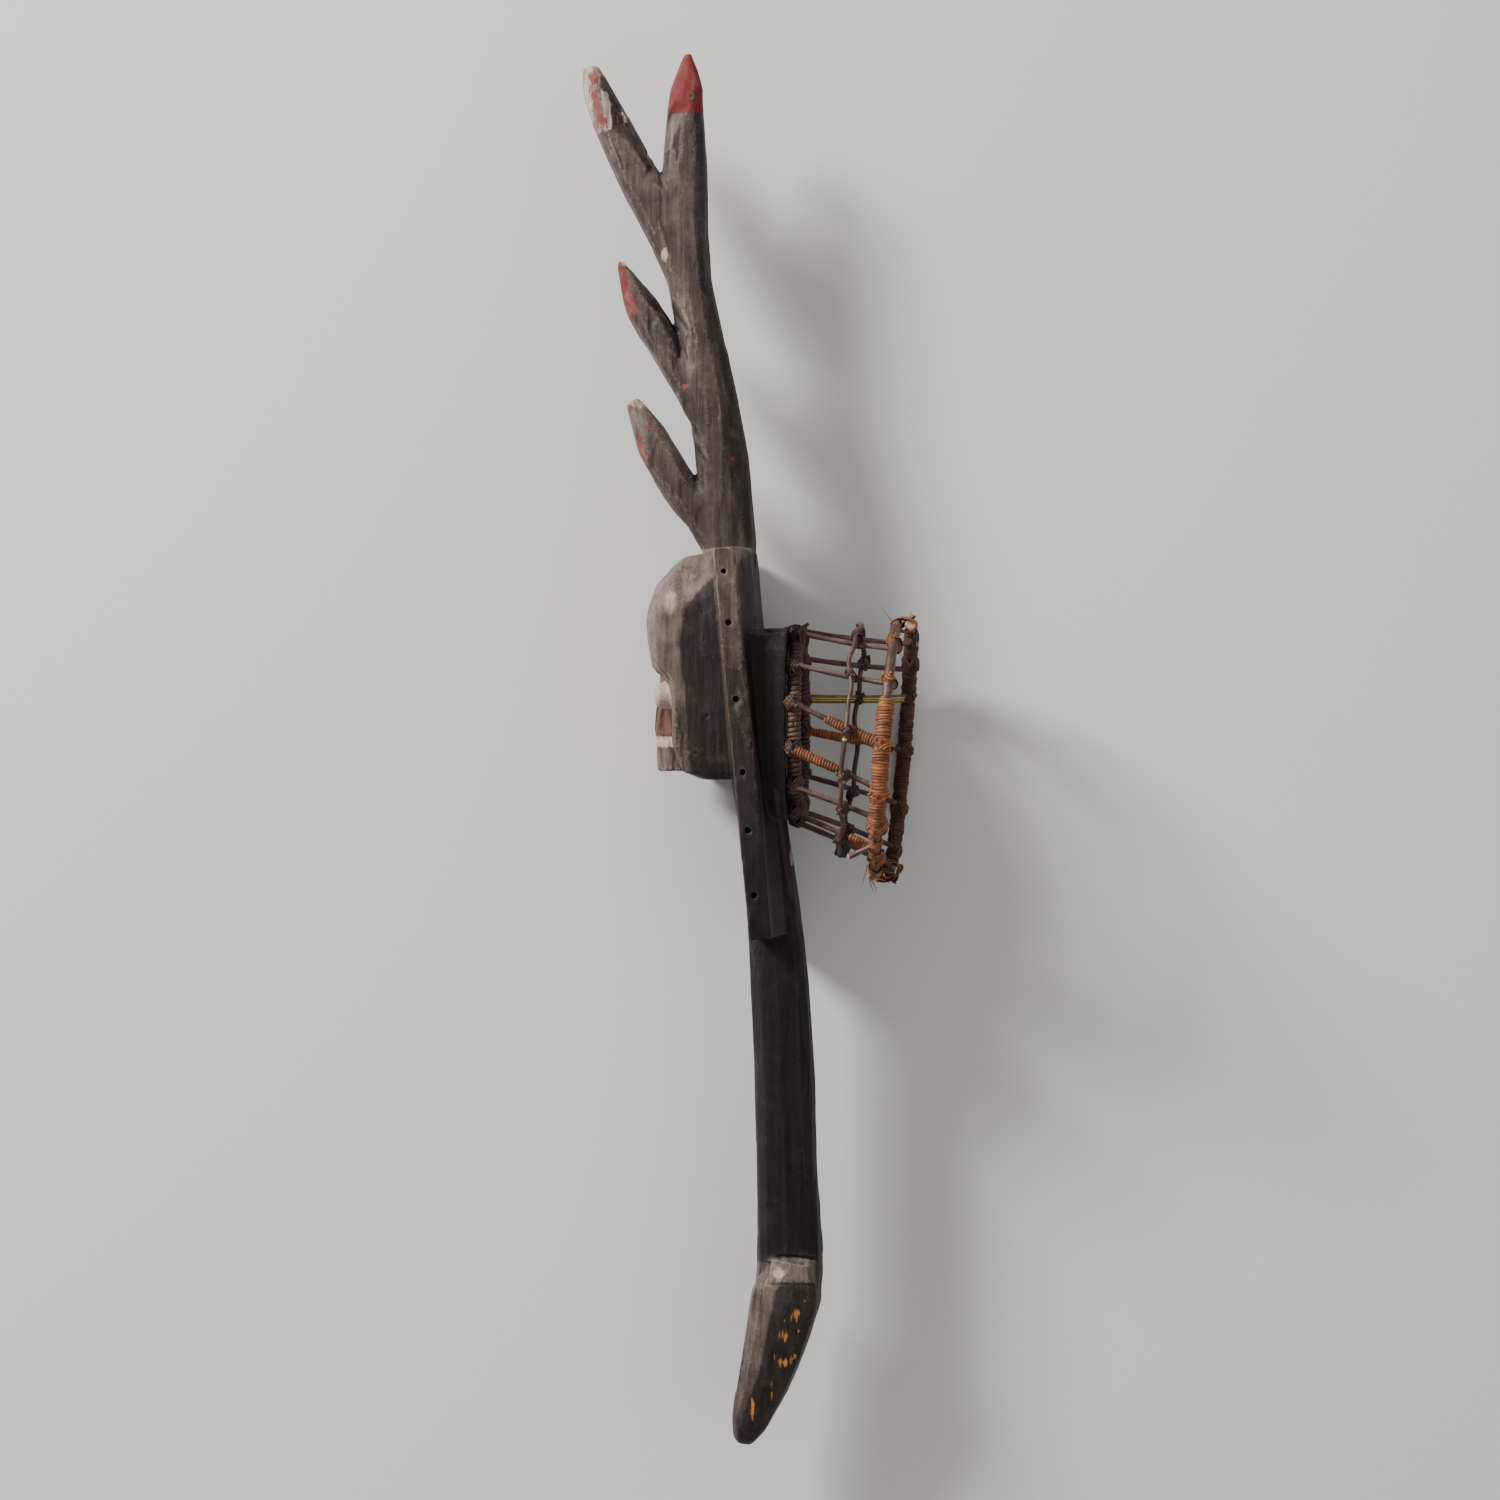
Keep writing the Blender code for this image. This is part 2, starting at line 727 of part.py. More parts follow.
def volume_and_middle(obj):
    total = 0.0
    weighted = Vector((0.0, 0.0, 0.0))
    mesh = obj.data
    mesh.calc_loop_triangles()
    for tri in mesh.loop_triangles:
        a, b, c = [mesh.vertices[i].co for i in tri.vertices]
        part = a.dot(b.cross(c)) / 6
        total += part
        weighted += (a + b + c) * part / 4
    return total, weighted / total


def resting_turn(objects, weights):
    """Finds the three spots under the weight that it lies on, and turns them level."""
    mass = 0.0
    middle = Vector((0.0, 0.0, 0.0))
    work = bmesh.new()
    for obj, weight in zip(objects, weights):
        volume, centre = volume_and_middle(obj)
        mass += volume * weight
        middle += centre * volume * weight
        for vertex in obj.data.vertices:
            work.verts.new(vertex.co)
    middle /= mass
    hull = bmesh.ops.convex_hull(work, input=work.verts)
    best = None
    for face in hull["geom"]:
        if not isinstance(face, bmesh.types.BMFace) or len(face.verts) != 3:
            continue
        corners = [v.co.copy() for v in face.verts]
        normal = face.normal.copy()
        if (corners[0] - middle).dot(normal) < 0:
            normal = -normal
        if normal.z > DOWNWARD or face.calc_area() < LEAST_FACE:
            continue
        foot = middle + normal * (corners[0] - middle).dot(normal)
        sides = [
            (corners[(i + 1) % 3] - corners[i]).cross(foot - corners[i]).dot(normal)
            for i in range(3)
        ]
        if min(sides) >= 0 or max(sides) <= 0:
            best = (normal, corners)
    work.free()
    normal, corners = best
    print("rests on", [tuple(round(v, 4) for v in c) for c in corners])
    print("weight's middle", tuple(round(v, 4) for v in middle))
    up = -normal
    along = Vector((0.0, 1.0, 0.0))
    along = (along - up * along.dot(up)).normalized()
    across = along.cross(up)
    turn = Matrix((across, along, up)).to_4x4()
    return turn


def lay_down(objects, turn):
    """Parents every piece to one empty that holds the lying place."""
    spots = np.array([(turn @ v.co)[:] for obj in objects for v in obj.data.vertices])
    low = spots.min(axis=0)
    high = spots.max(axis=0)
    shift = Vector((-(low[0] + high[0]) / 2, -(low[1] + high[1]) / 2, -low[2]))
    lying = bpy.data.objects.new("lying_headdress", None)
    bpy.context.scene.collection.objects.link(lying)
    lying.matrix_world = Matrix.Translation(shift) @ turn
    for obj in objects:
        obj.parent = lying
    print("turn", [[round(v, 6) for v in row] for row in turn])
    print("shift", tuple(round(v, 6) for v in shift), "size", high - low)


def smooth(obj, degrees):
    for face in obj.data.polygons:
        face.use_smooth = True
    obj.data.set_sharp_from_angle(angle=math.radians(degrees))


for old in list(bpy.data.objects):
    bpy.data.objects.remove(old)

wood = material("carved_wood", WOOD, 0.42)
rattan = material("rattan_rod", RATTAN, 0.6)
raffia = material("raffia_windings", RAFFIA, 0.75)
cane = material("split_cane", CANE, 0.45)

body = carved_body()
body.data.materials.clear()
body.data.materials.append(wood)
smooth(body, WOOD_SHARP)

frame = []
small = small_ring()
small.data.materials.append(rattan)
frame.append(small)
middle = middle_ring()
middle.data.materials.append(rattan)
frame.append(middle)
near = hoop("near_hoop", NEAR_PLACE, NEAR_ENDS, NEAR_BARE, NEAR_WRAP, NEAR_WRAPPED)
near.data.materials.append(raffia)
frame.append(near)
far = hoop("far_hoop", FAR_PLACE, FAR_ENDS, FAR_BARE, FAR_WRAP, FAR_WRAPPED)
far.data.materials.append(raffia)
frame.append(far)
for rib_name, rib_angles in RIBS.items():
    made_rib = rib(rib_name, rib_angles)
    made_rib.data.materials.append(rattan)
    frame.append(made_rib)
strip = cane_strip()
strip.data.materials.append(cane)
frame.append(strip)
for piece in frame:
    smooth(piece, CANE_SHARP)

pieces = [body] + frame
weights = [WOOD_WEIGHT] + [RATTAN_WEIGHT] * len(frame)
lay_down(pieces, resting_turn(pieces, weights))
for piece in pieces:
    piece.data.calc_loop_triangles()
print("triangles", sum(len(piece.data.loop_triangles) for piece in pieces))
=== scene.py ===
import math

import bmesh
import bpy
import numpy as np
from mathutils import Matrix, Vector
from mathutils.kdtree import KDTree


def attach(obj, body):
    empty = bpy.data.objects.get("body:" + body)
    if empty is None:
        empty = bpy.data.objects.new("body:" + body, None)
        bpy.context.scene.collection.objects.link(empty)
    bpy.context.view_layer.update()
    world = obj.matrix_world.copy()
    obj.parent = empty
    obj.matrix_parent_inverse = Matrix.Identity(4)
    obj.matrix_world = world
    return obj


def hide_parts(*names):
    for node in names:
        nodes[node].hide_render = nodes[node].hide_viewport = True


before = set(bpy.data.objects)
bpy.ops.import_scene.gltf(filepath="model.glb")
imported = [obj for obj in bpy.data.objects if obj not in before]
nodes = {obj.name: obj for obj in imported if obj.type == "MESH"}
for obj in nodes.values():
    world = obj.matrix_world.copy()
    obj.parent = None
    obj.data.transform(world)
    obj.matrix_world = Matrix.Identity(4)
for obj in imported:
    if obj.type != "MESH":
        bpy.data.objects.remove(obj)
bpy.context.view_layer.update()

# Water spirit headdress. Every piece is worked upright, +X from the face to the cap, +Y up the antler and
# +Z out of the near side, and is then laid on its far side as the solids lie.
lying = {
    "turn": ((0.990821, 0.0, -0.135177), (-0.003468, 0.999671, -0.025419), (0.135132, 0.025655, 0.990495)),
    "shift": (0.003455, 0.003091, 0.084382),
}
lay = Matrix.Translation(lying["shift"]) @ Matrix(lying["turn"]).to_4x4()
stand = lay.inverted()

studio = {
    "floor": 6.0,
    "floorColour": (0.84, 0.83, 0.81),
    "camera": (-0.1476, -0.0782, 3.0795),
    "right": (0.998833, -0.001240, 0.048290),
    "up": (0.0, 0.999671, 0.025655),
    "back": (-0.048307, -0.025624, 0.998504),
    "lens": 81.82,
    "sensor": 36.0,
    "frame": 1500,
    "lamps": (
        # name, place, what it points at, size, power
        ("key", (-3.4, 2.6, 2.0), (0.0, 0.1, 0.05), 1.1, 330.0),
        ("fill", (1.8, -1.2, 2.2), (0.0, 0.0, 0.05), 2.2, 7.0),
    ),
    "sky": 0.42,
}


# Numbers over a surface

def softNoise(spots, seed):
    # smooth noise from -1 to 1, one value for each spot
    cell = np.floor(spots).astype(np.int64)
    part = spots - cell
    part = part * part * (3 - 2 * part)
    total = np.zeros(len(spots))
    for dx in (0, 1):
        for dy in (0, 1):
            for dz in (0, 1):
                key = (cell[:, 0] + dx) * 73856093
                key = key ^ ((cell[:, 1] + dy) * 19349663)
                key = key ^ ((cell[:, 2] + dz) * 83492791)
                key = key + seed * 7919
                key = (key ^ (key >> 13)) * 1274126177
                value = ((key ^ (key >> 16)) & 65535) / 32767.5 - 1
                weight = abs(1 - dx - part[:, 0]) * abs(1 - dy - part[:, 1]) * abs(1 - dz - part[:, 2])
                total += value * weight
    return total


def rise(values, low, high):
    # 0 below low, 1 above high and a soft step between
    t = np.clip((values - low) / (high - low), 0.0, 1.0)
    return t * t * (3 - 2 * t)


def aroundMean(values, ends, count):
    # the mean of each vertex's neighbours, for one number or three
    flat = values.reshape(len(values), -1)
    out = np.empty_like(flat)
    for k in range(flat.shape[1]):
        total = np.bincount(ends[:, 0], flat[ends[:, 1], k], len(flat))
        total += np.bincount(ends[:, 1], flat[ends[:, 0], k], len(flat))
        out[:, k] = total / count
    return out.reshape(values.shape)


def viewPlace(spots):
    # where upright spots show in the square view, with the far side folded on to the near one
    folded = spots.copy()
    folded[:, 2] = abs(folded[:, 2])
    world = folded @ np.array(lying["turn"]).T + np.array(lying["shift"])
    ray = world - np.array(studio["camera"])
    scale = studio["frame"] * studio["lens"] / studio["sensor"]
    away = -(ray @ np.array(studio["back"]))
    half = studio["frame"] / 2
    across = half + scale * (ray @ np.array(studio["right"])) / away
    down = half - scale * (ray @ np.array(studio["up"])) / away
    return np.stack([across, down], axis=1)


def lineDistance(seen, line):
    # distance from a line in the view, below 0 on its left as it runs down, and how far past its ends
    line = np.array(line, float)
    best = np.full(len(seen), 1e9)
    side = np.zeros(len(seen))
    for a, b in zip(line[:-1], line[1:]):
        run = b - a
        t = np.clip(((seen - a) @ run) / (run @ run), 0.0, 1.0)
        off = seen - (a + t[:, None] * run)
        gap = np.hypot(off[:, 0], off[:, 1])
        cross = run[0] * (seen[:, 1] - a[1]) - run[1] * (seen[:, 0] - a[0])
        nearer = gap < best
        best[nearer] = gap[nearer]
        side[nearer] = -np.sign(cross[nearer])
    past = np.maximum(line[0, 1] - seen[:, 1], seen[:, 1] - line[-1, 1])
    return best * side, past


# The carved wood

carving = {
    "voxel": 0.00135,
    "softening": 2,
    "triangles": 194000,
    "valleys": ((-0.080, 0.462), (-0.057, 0.292), (-0.045, 0.198)),
    "valleyReach": 0.026,
    "forks": ((-0.088, 0.4946), (-0.0594, 0.3168), (-0.0462, 0.2244)),
    "forkReach": 0.019,
    "facets": (
        # along the carving from, to, facet across, facet along, greatest depth
        (0.172, 0.700, 0.016, 0.070, 0.0008),
        (-0.170, 0.172, 0.026, 0.042, 0.0006),
        (-0.452, -0.170, 0.015, 0.080, 0.0006),
        (-0.700, -0.452, 0.017, 0.050, 0.0006),
    ),
    "ridges": 0.00013,
    "dents": 0.00020,
    "stripDents": 0.00035,
    "chips": 0.0009,
}

# How the photograph's pixels measure on the carving, and the pixel of its upright origin
photoScale = {"pixel": 0.00088, "originX": 757, "originY": 745}

# Flat wood that closes the groove below each fork: half its thickness, and its outline in the view
webs = (
    (0.0168, ((657, 185), (666, 192), (678, 215), (678, 250), (668, 257), (655, 238), (643, 212), (646, 192))),
    (0.0168, ((689, 387), (698, 394), (706, 415), (706, 436), (696, 430), (684, 412), (677, 396))),
    (0.0178, ((704, 492), (714, 500), (722, 520), (722, 545), (708, 545), (696, 520), (692, 500))),
)

# Lines in the view that the cuts and the painted light and shade share
stemArris = (
    (694, 100), (693.5, 220), (698.6, 278), (708.8, 343), (719, 393),
    (722, 424), (725, 453), (734, 492), (743, 540),
)
footArris = (
    (779, 1272), (776, 1290), (771, 1312), (766, 1334),
    (762, 1356), (757, 1378), (747, 1402), (742, 1420),
)

# Flat cuts beside an edge line: the side that falls away, slope, reach across, and the line in the view
cuts = (
    ("right", 0.34, 40, stemArris),
    ("left", 0.45, 14, ((684, 114), (676, 134), (662, 170), (657, 183))),
    ("left", 0.40, 16, ((668, 256), (678, 279), (682, 293), (691, 332), (695, 380))),
    ("right", 0.50, 16, ((597, 64), (604, 100), (610, 129), (625, 140), (644, 163), (655, 181))),
    ("left", 0.45, 12, ((590, 110), (595, 134), (606, 162), (622, 192), (640, 225))),
    ("right", 0.55, 18, ((622, 262), (633, 275), (640, 293), (650, 307), (664, 323), (676, 345))),
    ("left", 0.45, 12, ((624, 300), (633, 320), (650, 348), (672, 383))),
    ("right", 0.55, 18, ((640, 406), (652, 416), (667, 431), (674, 445), (684, 458), (694, 474))),
    ("left", 0.45, 12, ((628, 424), (639, 444), (649, 464), (666, 486), (684, 515))),
    ("left", 0.26, 20, footArris),
    ("left", 0.30, 14, ((762, 960), (764, 1050), (766, 1150), (768, 1235))),
    ("right", 0.30, 14, ((795, 960), (802, 1050), (806, 1150), (808, 1235))),
)
branchCuts = cuts[1:9]

# Small marks in the view: nail holes with place, reach and depth, and cracks with width, depth and line
nailMarks = (
    (692, 96, 2.6, 0.0009), (704, 640, 2.4, 0.0007), (707, 716, 2.6, 0.0009),
    (696, 753, 2.6, 0.0008), (780, 1132, 1.6, 0.0007), (733, 462, 2.6, 0.0008),
)
crackLines = (
    (1.3, 0.0010, ((683, 733), (682, 752), (684, 771))),
    (1.1, 0.0007, ((661, 750), (660, 771))),
    (1.1, 0.0007, ((667, 751), (668, 772))),
    (1.1, 0.0006, ((674, 752), (674, 772))),
    (1.5, 0.0006, ((688, 770), (700, 740), (703, 712))),
    (1.2, 0.0006, ((716, 731), (717, 778))),
    (1.2, 0.0005, ((722, 742), (724, 779))),
    (1.6, 0.0007, ((723, 541), (738, 533))),
    (1.4, 0.0005, ((700, 520), (716, 508))),
    (1.5, 0.0008, ((649, 118), (652, 126))),
    (1.4, 0.0010, ((613, 140), (620, 158), (624, 170))),
    (1.3, 0.0008, ((606, 133), (611, 150))),
    (1.8, 0.0022, ((778, 1256), (797, 1256.5), (816, 1259))),
    (1.5, 0.0012, ((770, 1262), (768, 1272), (769, 1284))),
    (1.2, 0.0009, ((771, 1284), (790, 1284), (814, 1285))),
    (1.2, 0.0006, ((692, 710), (710, 702), (725, 696))),
    (1.2, 0.0005, ((692, 661), (697, 651), (709, 642))),
    (1.1, 0.0007, ((653, 658), (661, 669), (670, 681))),
)


def closedCopy(node):
    bm = bmesh.new()
    bm.from_mesh(nodes[node].data)
    bmesh.ops.remove_doubles(bm, verts=bm.verts, dist=0.00001)
    bmesh.ops.transform(bm, matrix=stand, verts=bm.verts)
    return bm


def asObject(name, bm):
    mesh = bpy.data.meshes.new(name)
    bm.to_mesh(mesh)
    bm.free()
    made = bpy.data.objects.new(name, mesh)
    bpy.context.scene.collection.objects.link(made)
    return made


def settle(obj):
    # puts the object's modifiers into its mesh
    graph = bpy.context.evaluated_depsgraph_get()
    made = bpy.data.meshes.new_from_object(obj.evaluated_get(graph))
    old = obj.data
    obj.modifiers.clear()
    obj.data = made
    bpy.data.meshes.remove(old)


def readMesh(mesh):
    mesh.update()
    spots = np.empty(len(mesh.vertices) * 3)
    mesh.vertices.foreach_get("co", spots)
    facing = np.empty(len(mesh.vertices) * 3, np.float32)
    mesh.vertices.foreach_get("normal", facing)
    ends = np.empty(len(mesh.edges) * 2, np.int32)
    mesh.edges.foreach_get("vertices", ends)
    ends = ends.reshape(-1, 2)
    count = np.bincount(ends.ravel(), minlength=len(mesh.vertices))
    return spots.reshape(-1, 3), facing.reshape(-1, 3).astype(float), ends, np.maximum(count, 1)


def uprightSpot(x, y):
    # where a pixel of the view falls on the upright carving
    scale = photoScale["pixel"]
    return (x - photoScale["originX"]) * scale, (photoScale["originY"] - y) * scale


def addWebs(bm):
    for half, outline in webs:
        plate = bm.faces.new([bm.verts.new((*uprightSpot(x, y), -half)) for x, y in outline])
        grown = bmesh.ops.extrude_face_region(bm, geom=[plate])
        raised = [g for g in grown["geom"] if isinstance(g, bmesh.types.BMVert)]
        bmesh.ops.translate(bm, vec=(0, 0, 2 * half), verts=raised)
    bmesh.ops.recalc_face_normals(bm, faces=bm.faces)


def fillValleys(mesh):
    # the prongs run into the stem with flat sides, so the grooves between them are filled
    for turn in range(2):
        spots, facing, ends, count = readMesh(mesh)
        near = np.zeros(len(spots))
        for x, y in carving["valleys"]:
            gap = np.hypot(spots[:, 0] - x, (spots[:, 1] - y) * 0.8)
            near = np.maximum(near, 1 - rise(gap, carving["valleyReach"] * 0.7, carving["valleyReach"]))
        near *= rise(abs(facing[:, 2]), 0.25, 0.5)
        for step in range(12):
            move = np.einsum("ij,ij->i", aroundMean(spots, ends, count) - spots, facing)
            spots = spots + facing * (np.maximum(move, 0.0) * near * 1.2)[:, None]
        mesh.vertices.foreach_set("co", spots.ravel())


def cutFlats(mesh):
    spots, facing, ends, count = readMesh(mesh)
    seen = viewPlace(spots)
    for side, slope, reach, line in cuts:
        gap, _ = lineDistance(seen, line)
        gap = gap if side == "right" else -gap
        ease = 1 - rise(seen[:, 1] - line[-1][1], -1.9 * reach, 0.0)
        ease *= 1 - rise(line[0][1] - seen[:, 1], 0.0, 12.0)
        ease *= 1 - rise(gap, reach * 0.8, reach * 1.2)
        depth = np.maximum(gap, 0.0) * photoScale["pixel"] * slope * ease
        depth *= rise(abs(facing[:, 2]), 0.02, 0.25)
        spots[:, 2] -= np.sign(spots[:, 2]) * np.minimum(depth, abs(spots[:, 2]) * 0.6)
    mesh.vertices.foreach_set("co", spots.ravel())


def facetLift(spots, facing, band, pick):
    # how far each vertex moves along its normal to lie in the flat left by one stroke of the adze
    low, high, across, along, limit = band
    size = np.array([across, along, across])
    inside = (spots[:, 1] > low - 0.02) & (spots[:, 1] < high + 0.02)
    where = np.nonzero(inside)[0]
    scaled = spots[where] / size + facing[where] * 0.9
    order = pick.permutation(len(where))
    keys = np.floor(scaled[order] * 0.9 + 0.37).astype(np.int64)
    _, first = np.unique(keys, axis=0, return_index=True)
    seeds = order[np.sort(first)]
    tree = KDTree(len(seeds))
    for i, k in enumerate(seeds):
        tree.insert(scaled[k], i)
    tree.balance()
    nearest = np.array([tree.find(s)[1] for s in scaled])
    seedSpots = spots[where[seeds]][nearest]
    seedFacing = facing[where[seeds]][nearest]
    gap = np.einsum("ij,ij->i", seedSpots - spots[where], seedFacing)
    alike = rise(np.einsum("ij,ij->i", facing[where], seedFacing), 0.78, 0.95)
    height = spots[where, 1]
    ease = rise(height, low - 0.01, low + 0.01) * (1 - rise(height, high - 0.01, high + 0.01))
    lift = np.zeros(len(spots))
    lift[where] = (np.clip(gap * 0.8, -limit, limit) - limit * 0.45) * alike * ease
    return lift


def carveSurface(mesh):
    spots, facing, ends, count = readMesh(mesh)
    pick = np.random.RandomState(11)
    lift = np.zeros(len(spots))
    for band in carving["facets"]:
        lift += facetLift(spots, facing, band, pick)
    for x, y in carving["forks"]:
        gap = np.hypot(spots[:, 0] - x, spots[:, 1] - y)
        lift *= rise(gap, carving["forkReach"] * 0.6, carving["forkReach"])
    lift = lift * 0.6 + aroundMean(lift, ends, count) * 0.4
    spots = spots + facing * lift[:, None]
    mesh.vertices.foreach_set("co", spots.ravel())

    spots, facing, ends, count = readMesh(mesh)
    bend = np.einsum("ij,ij->i", spots - aroundMean(spots, ends, count), facing)
    sharp = rise(bend, 0.00004, 0.00022)
    broken = softNoise(spots * (210.0, 90.0, 210.0), 7) + softNoise(spots * (90.0, 40.0, 90.0), 8) * 0.6
    chips = rise(broken, 0.15, 0.9)
    lift = -sharp * (0.0002 + chips * carving["chips"])
    lift += softNoise(spots * (330.0, 26.0, 330.0), 3) * carving["ridges"]
    lift += softNoise(spots * (120.0, 55.0, 120.0), 5) * carving["dents"]
    strip = rise(abs(spots[:, 2]), 0.0775, 0.0795)
    lift += strip * softNoise(spots * (170.0, 110.0, 170.0), 6) * carving["stripDents"]
    seen = viewPlace(spots)
    shown = rise(abs(facing[:, 2]), 0.25, 0.5) * rise(spots[:, 2], 0.0, 0.004)
    for x, y, reach, depth in nailMarks:
        gap = np.hypot(seen[:, 0] - x, seen[:, 1] - y)
        rim = rise(gap, reach * 0.7, reach) * (1 - rise(gap, reach, reach * 1.7))
        lift += shown * depth * (0.35 * rim - 1 + rise(gap, reach * 0.3, reach))
    for width, depth, line in crackLines:
        gap, past = lineDistance(seen, line)
        lift -= shown * depth * (1 - rise(abs(gap), width * 0.3, width)) * (1 - rise(past, 0.0, 3.0))
    spots = spots + facing * lift[:, None]
    mesh.vertices.foreach_set("co", spots.ravel())


# Paint, bare wood, wear and a painted glint. A patch is its place in the view and its reach across and down
paint = {
    "none": -3.0,
    "tipKnot": (692, 96, 2.0, 3.0),
    "redPatches": ((685.6, 387, 3.4, 3.6), (732, 435, 2.0, 2.8), (733, 459, 2.0, 3.4), (749, 472, 1.4, 3.6)),
    "leftRedLine": ((595, 68), (595, 90), (599, 110), (601, 130)),
    "leftRedPatches": ((594, 129, 3.5, 7), (599, 116, 4, 9)),
    "middleRedLine": ((620, 262), (628, 275), (633, 292), (638, 310), (634, 321)),
    "leftFaceLine": ((597, 60), (604, 95), (612, 131)),
    "leftScrapedLine": ((604, 92), (607, 108), (608, 128)),
    "barePatches": ((664.5, 255, 3.1, 6.8), (792, 856, 2.2, 9), (804, 617, 5, 5)),
    # a painted glint on the foot's ledge, laid in as white
    "paintedGlintPatches": ((779, 1273, 5.2, 5.6),),
    "cheekLine": ((657, 677), (666, 684), (671, 692), (672.5, 713), (673, 741), (680, 755), (687, 766)),
    "orangeStrokes": (
        (785, 1293, 1.2, 1.6), (797, 1315, 3.0, 6.0), (785.4, 1321, 1.4, 1.8), (791, 1318, 1.0, 4.0),
        (779, 1338, 0.9, 6.0), (782, 1337, 0.8, 7.0), (785, 1336, 0.9, 7.0), (788, 1338, 0.7, 5.0),
        (775, 1357, 1.2, 4.5), (780, 1364, 2.6, 3.0), (785, 1363, 2.4, 4.0), (791, 1361, 1.0, 5.0),
        (795, 1356, 1.8, 2.5), (771.5, 1391, 1.1, 9.0), (798.6, 1331, 1.4, 1.6), (804, 1301, 1.2, 2.0),
        (752.5, 1409, 1.6, 10.5),
    ),
    # brown worn edges along the board and the shaft, each with its half width
    "brownLines": (
        (1.1, ((714, 580), (722, 660), (732, 781), (748, 925))),
        (1.1, ((732, 554), (735, 613), (739, 661), (751, 724), (760, 781), (772, 935))),
        (2.2, ((776, 790), (784, 850), (792, 900))),
    ),
}

# How light the wood is, with painted light and shade laid in: pairs of height up the carving and tone, and
# single factors
tonesAndPaintedLight = {
    # darker towards the bottom of the carving: partly the wood's own tone, partly painted shade where less
    # light falls
    "wood": (
        (-0.62, 0.26), (-0.50, 0.30), (-0.455, 0.36), (-0.44, 0.11), (-0.20, 0.13), (-0.14, 0.16),
        (-0.03, 0.22), (0.05, 0.36), (0.13, 0.76), (0.165, 0.85), (0.18, 0.60),
        (0.30, 0.78), (0.45, 0.96), (0.60, 1.08),
    ),
    # the head's side in painted shade, its front and cap in painted light, split along the crown line
    "headSideShaded": ((-0.03, 0.27), (0.05, 0.31), (0.12, 0.36)),
    "headFrontLit": ((-0.03, 0.75), (0.02, 1.05), (0.08, 1.75), (0.12, 2.60), (0.165, 2.10)),
    # the board's edge strip in painted light at the top and painted shade towards the bottom
    "strip": ((-0.16, 0.10), (-0.10, 0.14), (-0.03, 0.30), (0.05, 0.46), (0.11, 0.90), (0.165, 1.25)),
    "crownLine": (
        (722, 572), (708, 581), (699, 590), (692, 600), (682, 607), (679, 640), (684, 690), (688, 740),
    ),
    # a painted highlight on the forehead
    "paintedHighlight": 5.2,
    "mouth": 1.35,
    "lowProng": 0.9,
    # painted light on the left prong's face, left of its edge line
    "leftFace": 1.15,
    # painted shade on the stem's right facet
    "stemRightShade": 0.62,
    "cutLit": 0.50,
    "cutShaded": -0.42,
    # painted light on the foot's left bevel
    "footBevelLight": 3.0,
    # painted light on the ledge face of the foot
    "footLedgeLight": 1.35,
    # painted light on the shaft's left edge
    "shaftEdgeLight": 0.25,
    # painted shade on the block behind the board
    "behind": 0.5,
    "least": 0.09,
}


def patchField(seen, patches):
    # above 0 inside a patch, in parts of its reach
    best = np.full(len(seen), paint["none"])
    for x, y, across, down in patches:
        gap = np.hypot((seen[:, 0] - x) / across, (seen[:, 1] - y) / down)
        best = np.maximum(best, 1 - gap)
    return best


def ramp(values, pairs):
    places, amounts = zip(*pairs)
    return np.interp(values, places, amounts)


def within(zone, values):
    # a field that holds in one zone only
    return np.where(zone, values, paint["none"])


def carvedZones(spots, facing, seen):
    x, y = seen[:, 0], seen[:, 1]
    upX, upY, upZ = spots[:, 0], spots[:, 1], abs(spots[:, 2])
    return {
        "side": rise(abs(facing[:, 2]), 0.05, 0.35),
        "near": spots[:, 2] > 0.0,
        "rightTip": (x > 655) & (y < 140),
        "leftProng": (x < 662) & (y < 185) & (x < 600 + (y - 60) * 0.48 + 16),
        "middleProng": (x < 645) & (y > 255) & (y < 330),
        "lowProng": (y > 392) & (y < 475) & (x < 640 + (y - 400) * 0.6 + 8),
        "mouth": (upX < -0.062) & (upZ < 0.060) & (upY < 0.0) & (upY > -0.030),
        "head": (upY < 0.172) & (upY > -0.034) & (upX < 0.0) & (upZ < 0.0785),
        "foot": upY < -0.452,
        # the block behind the board, darkened as painted shade
        "behind": (upX > -0.008) & (upY < 0.17) & (upY > -0.12) & (upZ < 0.0775),
        "leftFace": lineDistance(seen, paint["leftFaceLine"])[0],
    }


def redFields(seen, zones):
    x, y = seen[:, 0], seen[:, 1]
    left, side = zones["leftProng"], zones["side"]
    knotX, knotY, across, down = paint["tipKnot"]
    knot = np.hypot((x - knotX) / across, (y - knotY) / down)
    hard = within(zones["rightTip"] & (knot > 1), (112.5 - y) / 9.0)
    gap, past = lineDistance(seen, paint["leftRedLine"])
    worn = within(left, 0.50 - abs(gap) / 9.0 - rise(past, -4, 4) * 2.0)
    worn = np.where(left & (side > 0.3), np.maximum(worn, patchField(seen, paint["leftRedPatches"])), worn)
    worn = np.where(left & (side < 0.4), np.minimum((128 - y) / 14.0, 0.15), worn)
    gap, _ = lineDistance(seen, paint["middleRedLine"])
    tip = np.minimum(np.minimum(-gap / 3.0, (321 - y) / 5.0), 0.5)
    worn = np.where(zones["middleProng"], tip, worn)
    rim = np.clip((644 - x + (y - 440) * 0.3) / 8.0, -0.1, 0.5) * rise(y, 432, 444)
    worn = np.where(zones["lowProng"], np.minimum((462 - y) / 12.0, -0.36 + rim), worn)
    return hard, np.maximum(worn, within(side > 0.3, patchField(seen, paint["redPatches"])))


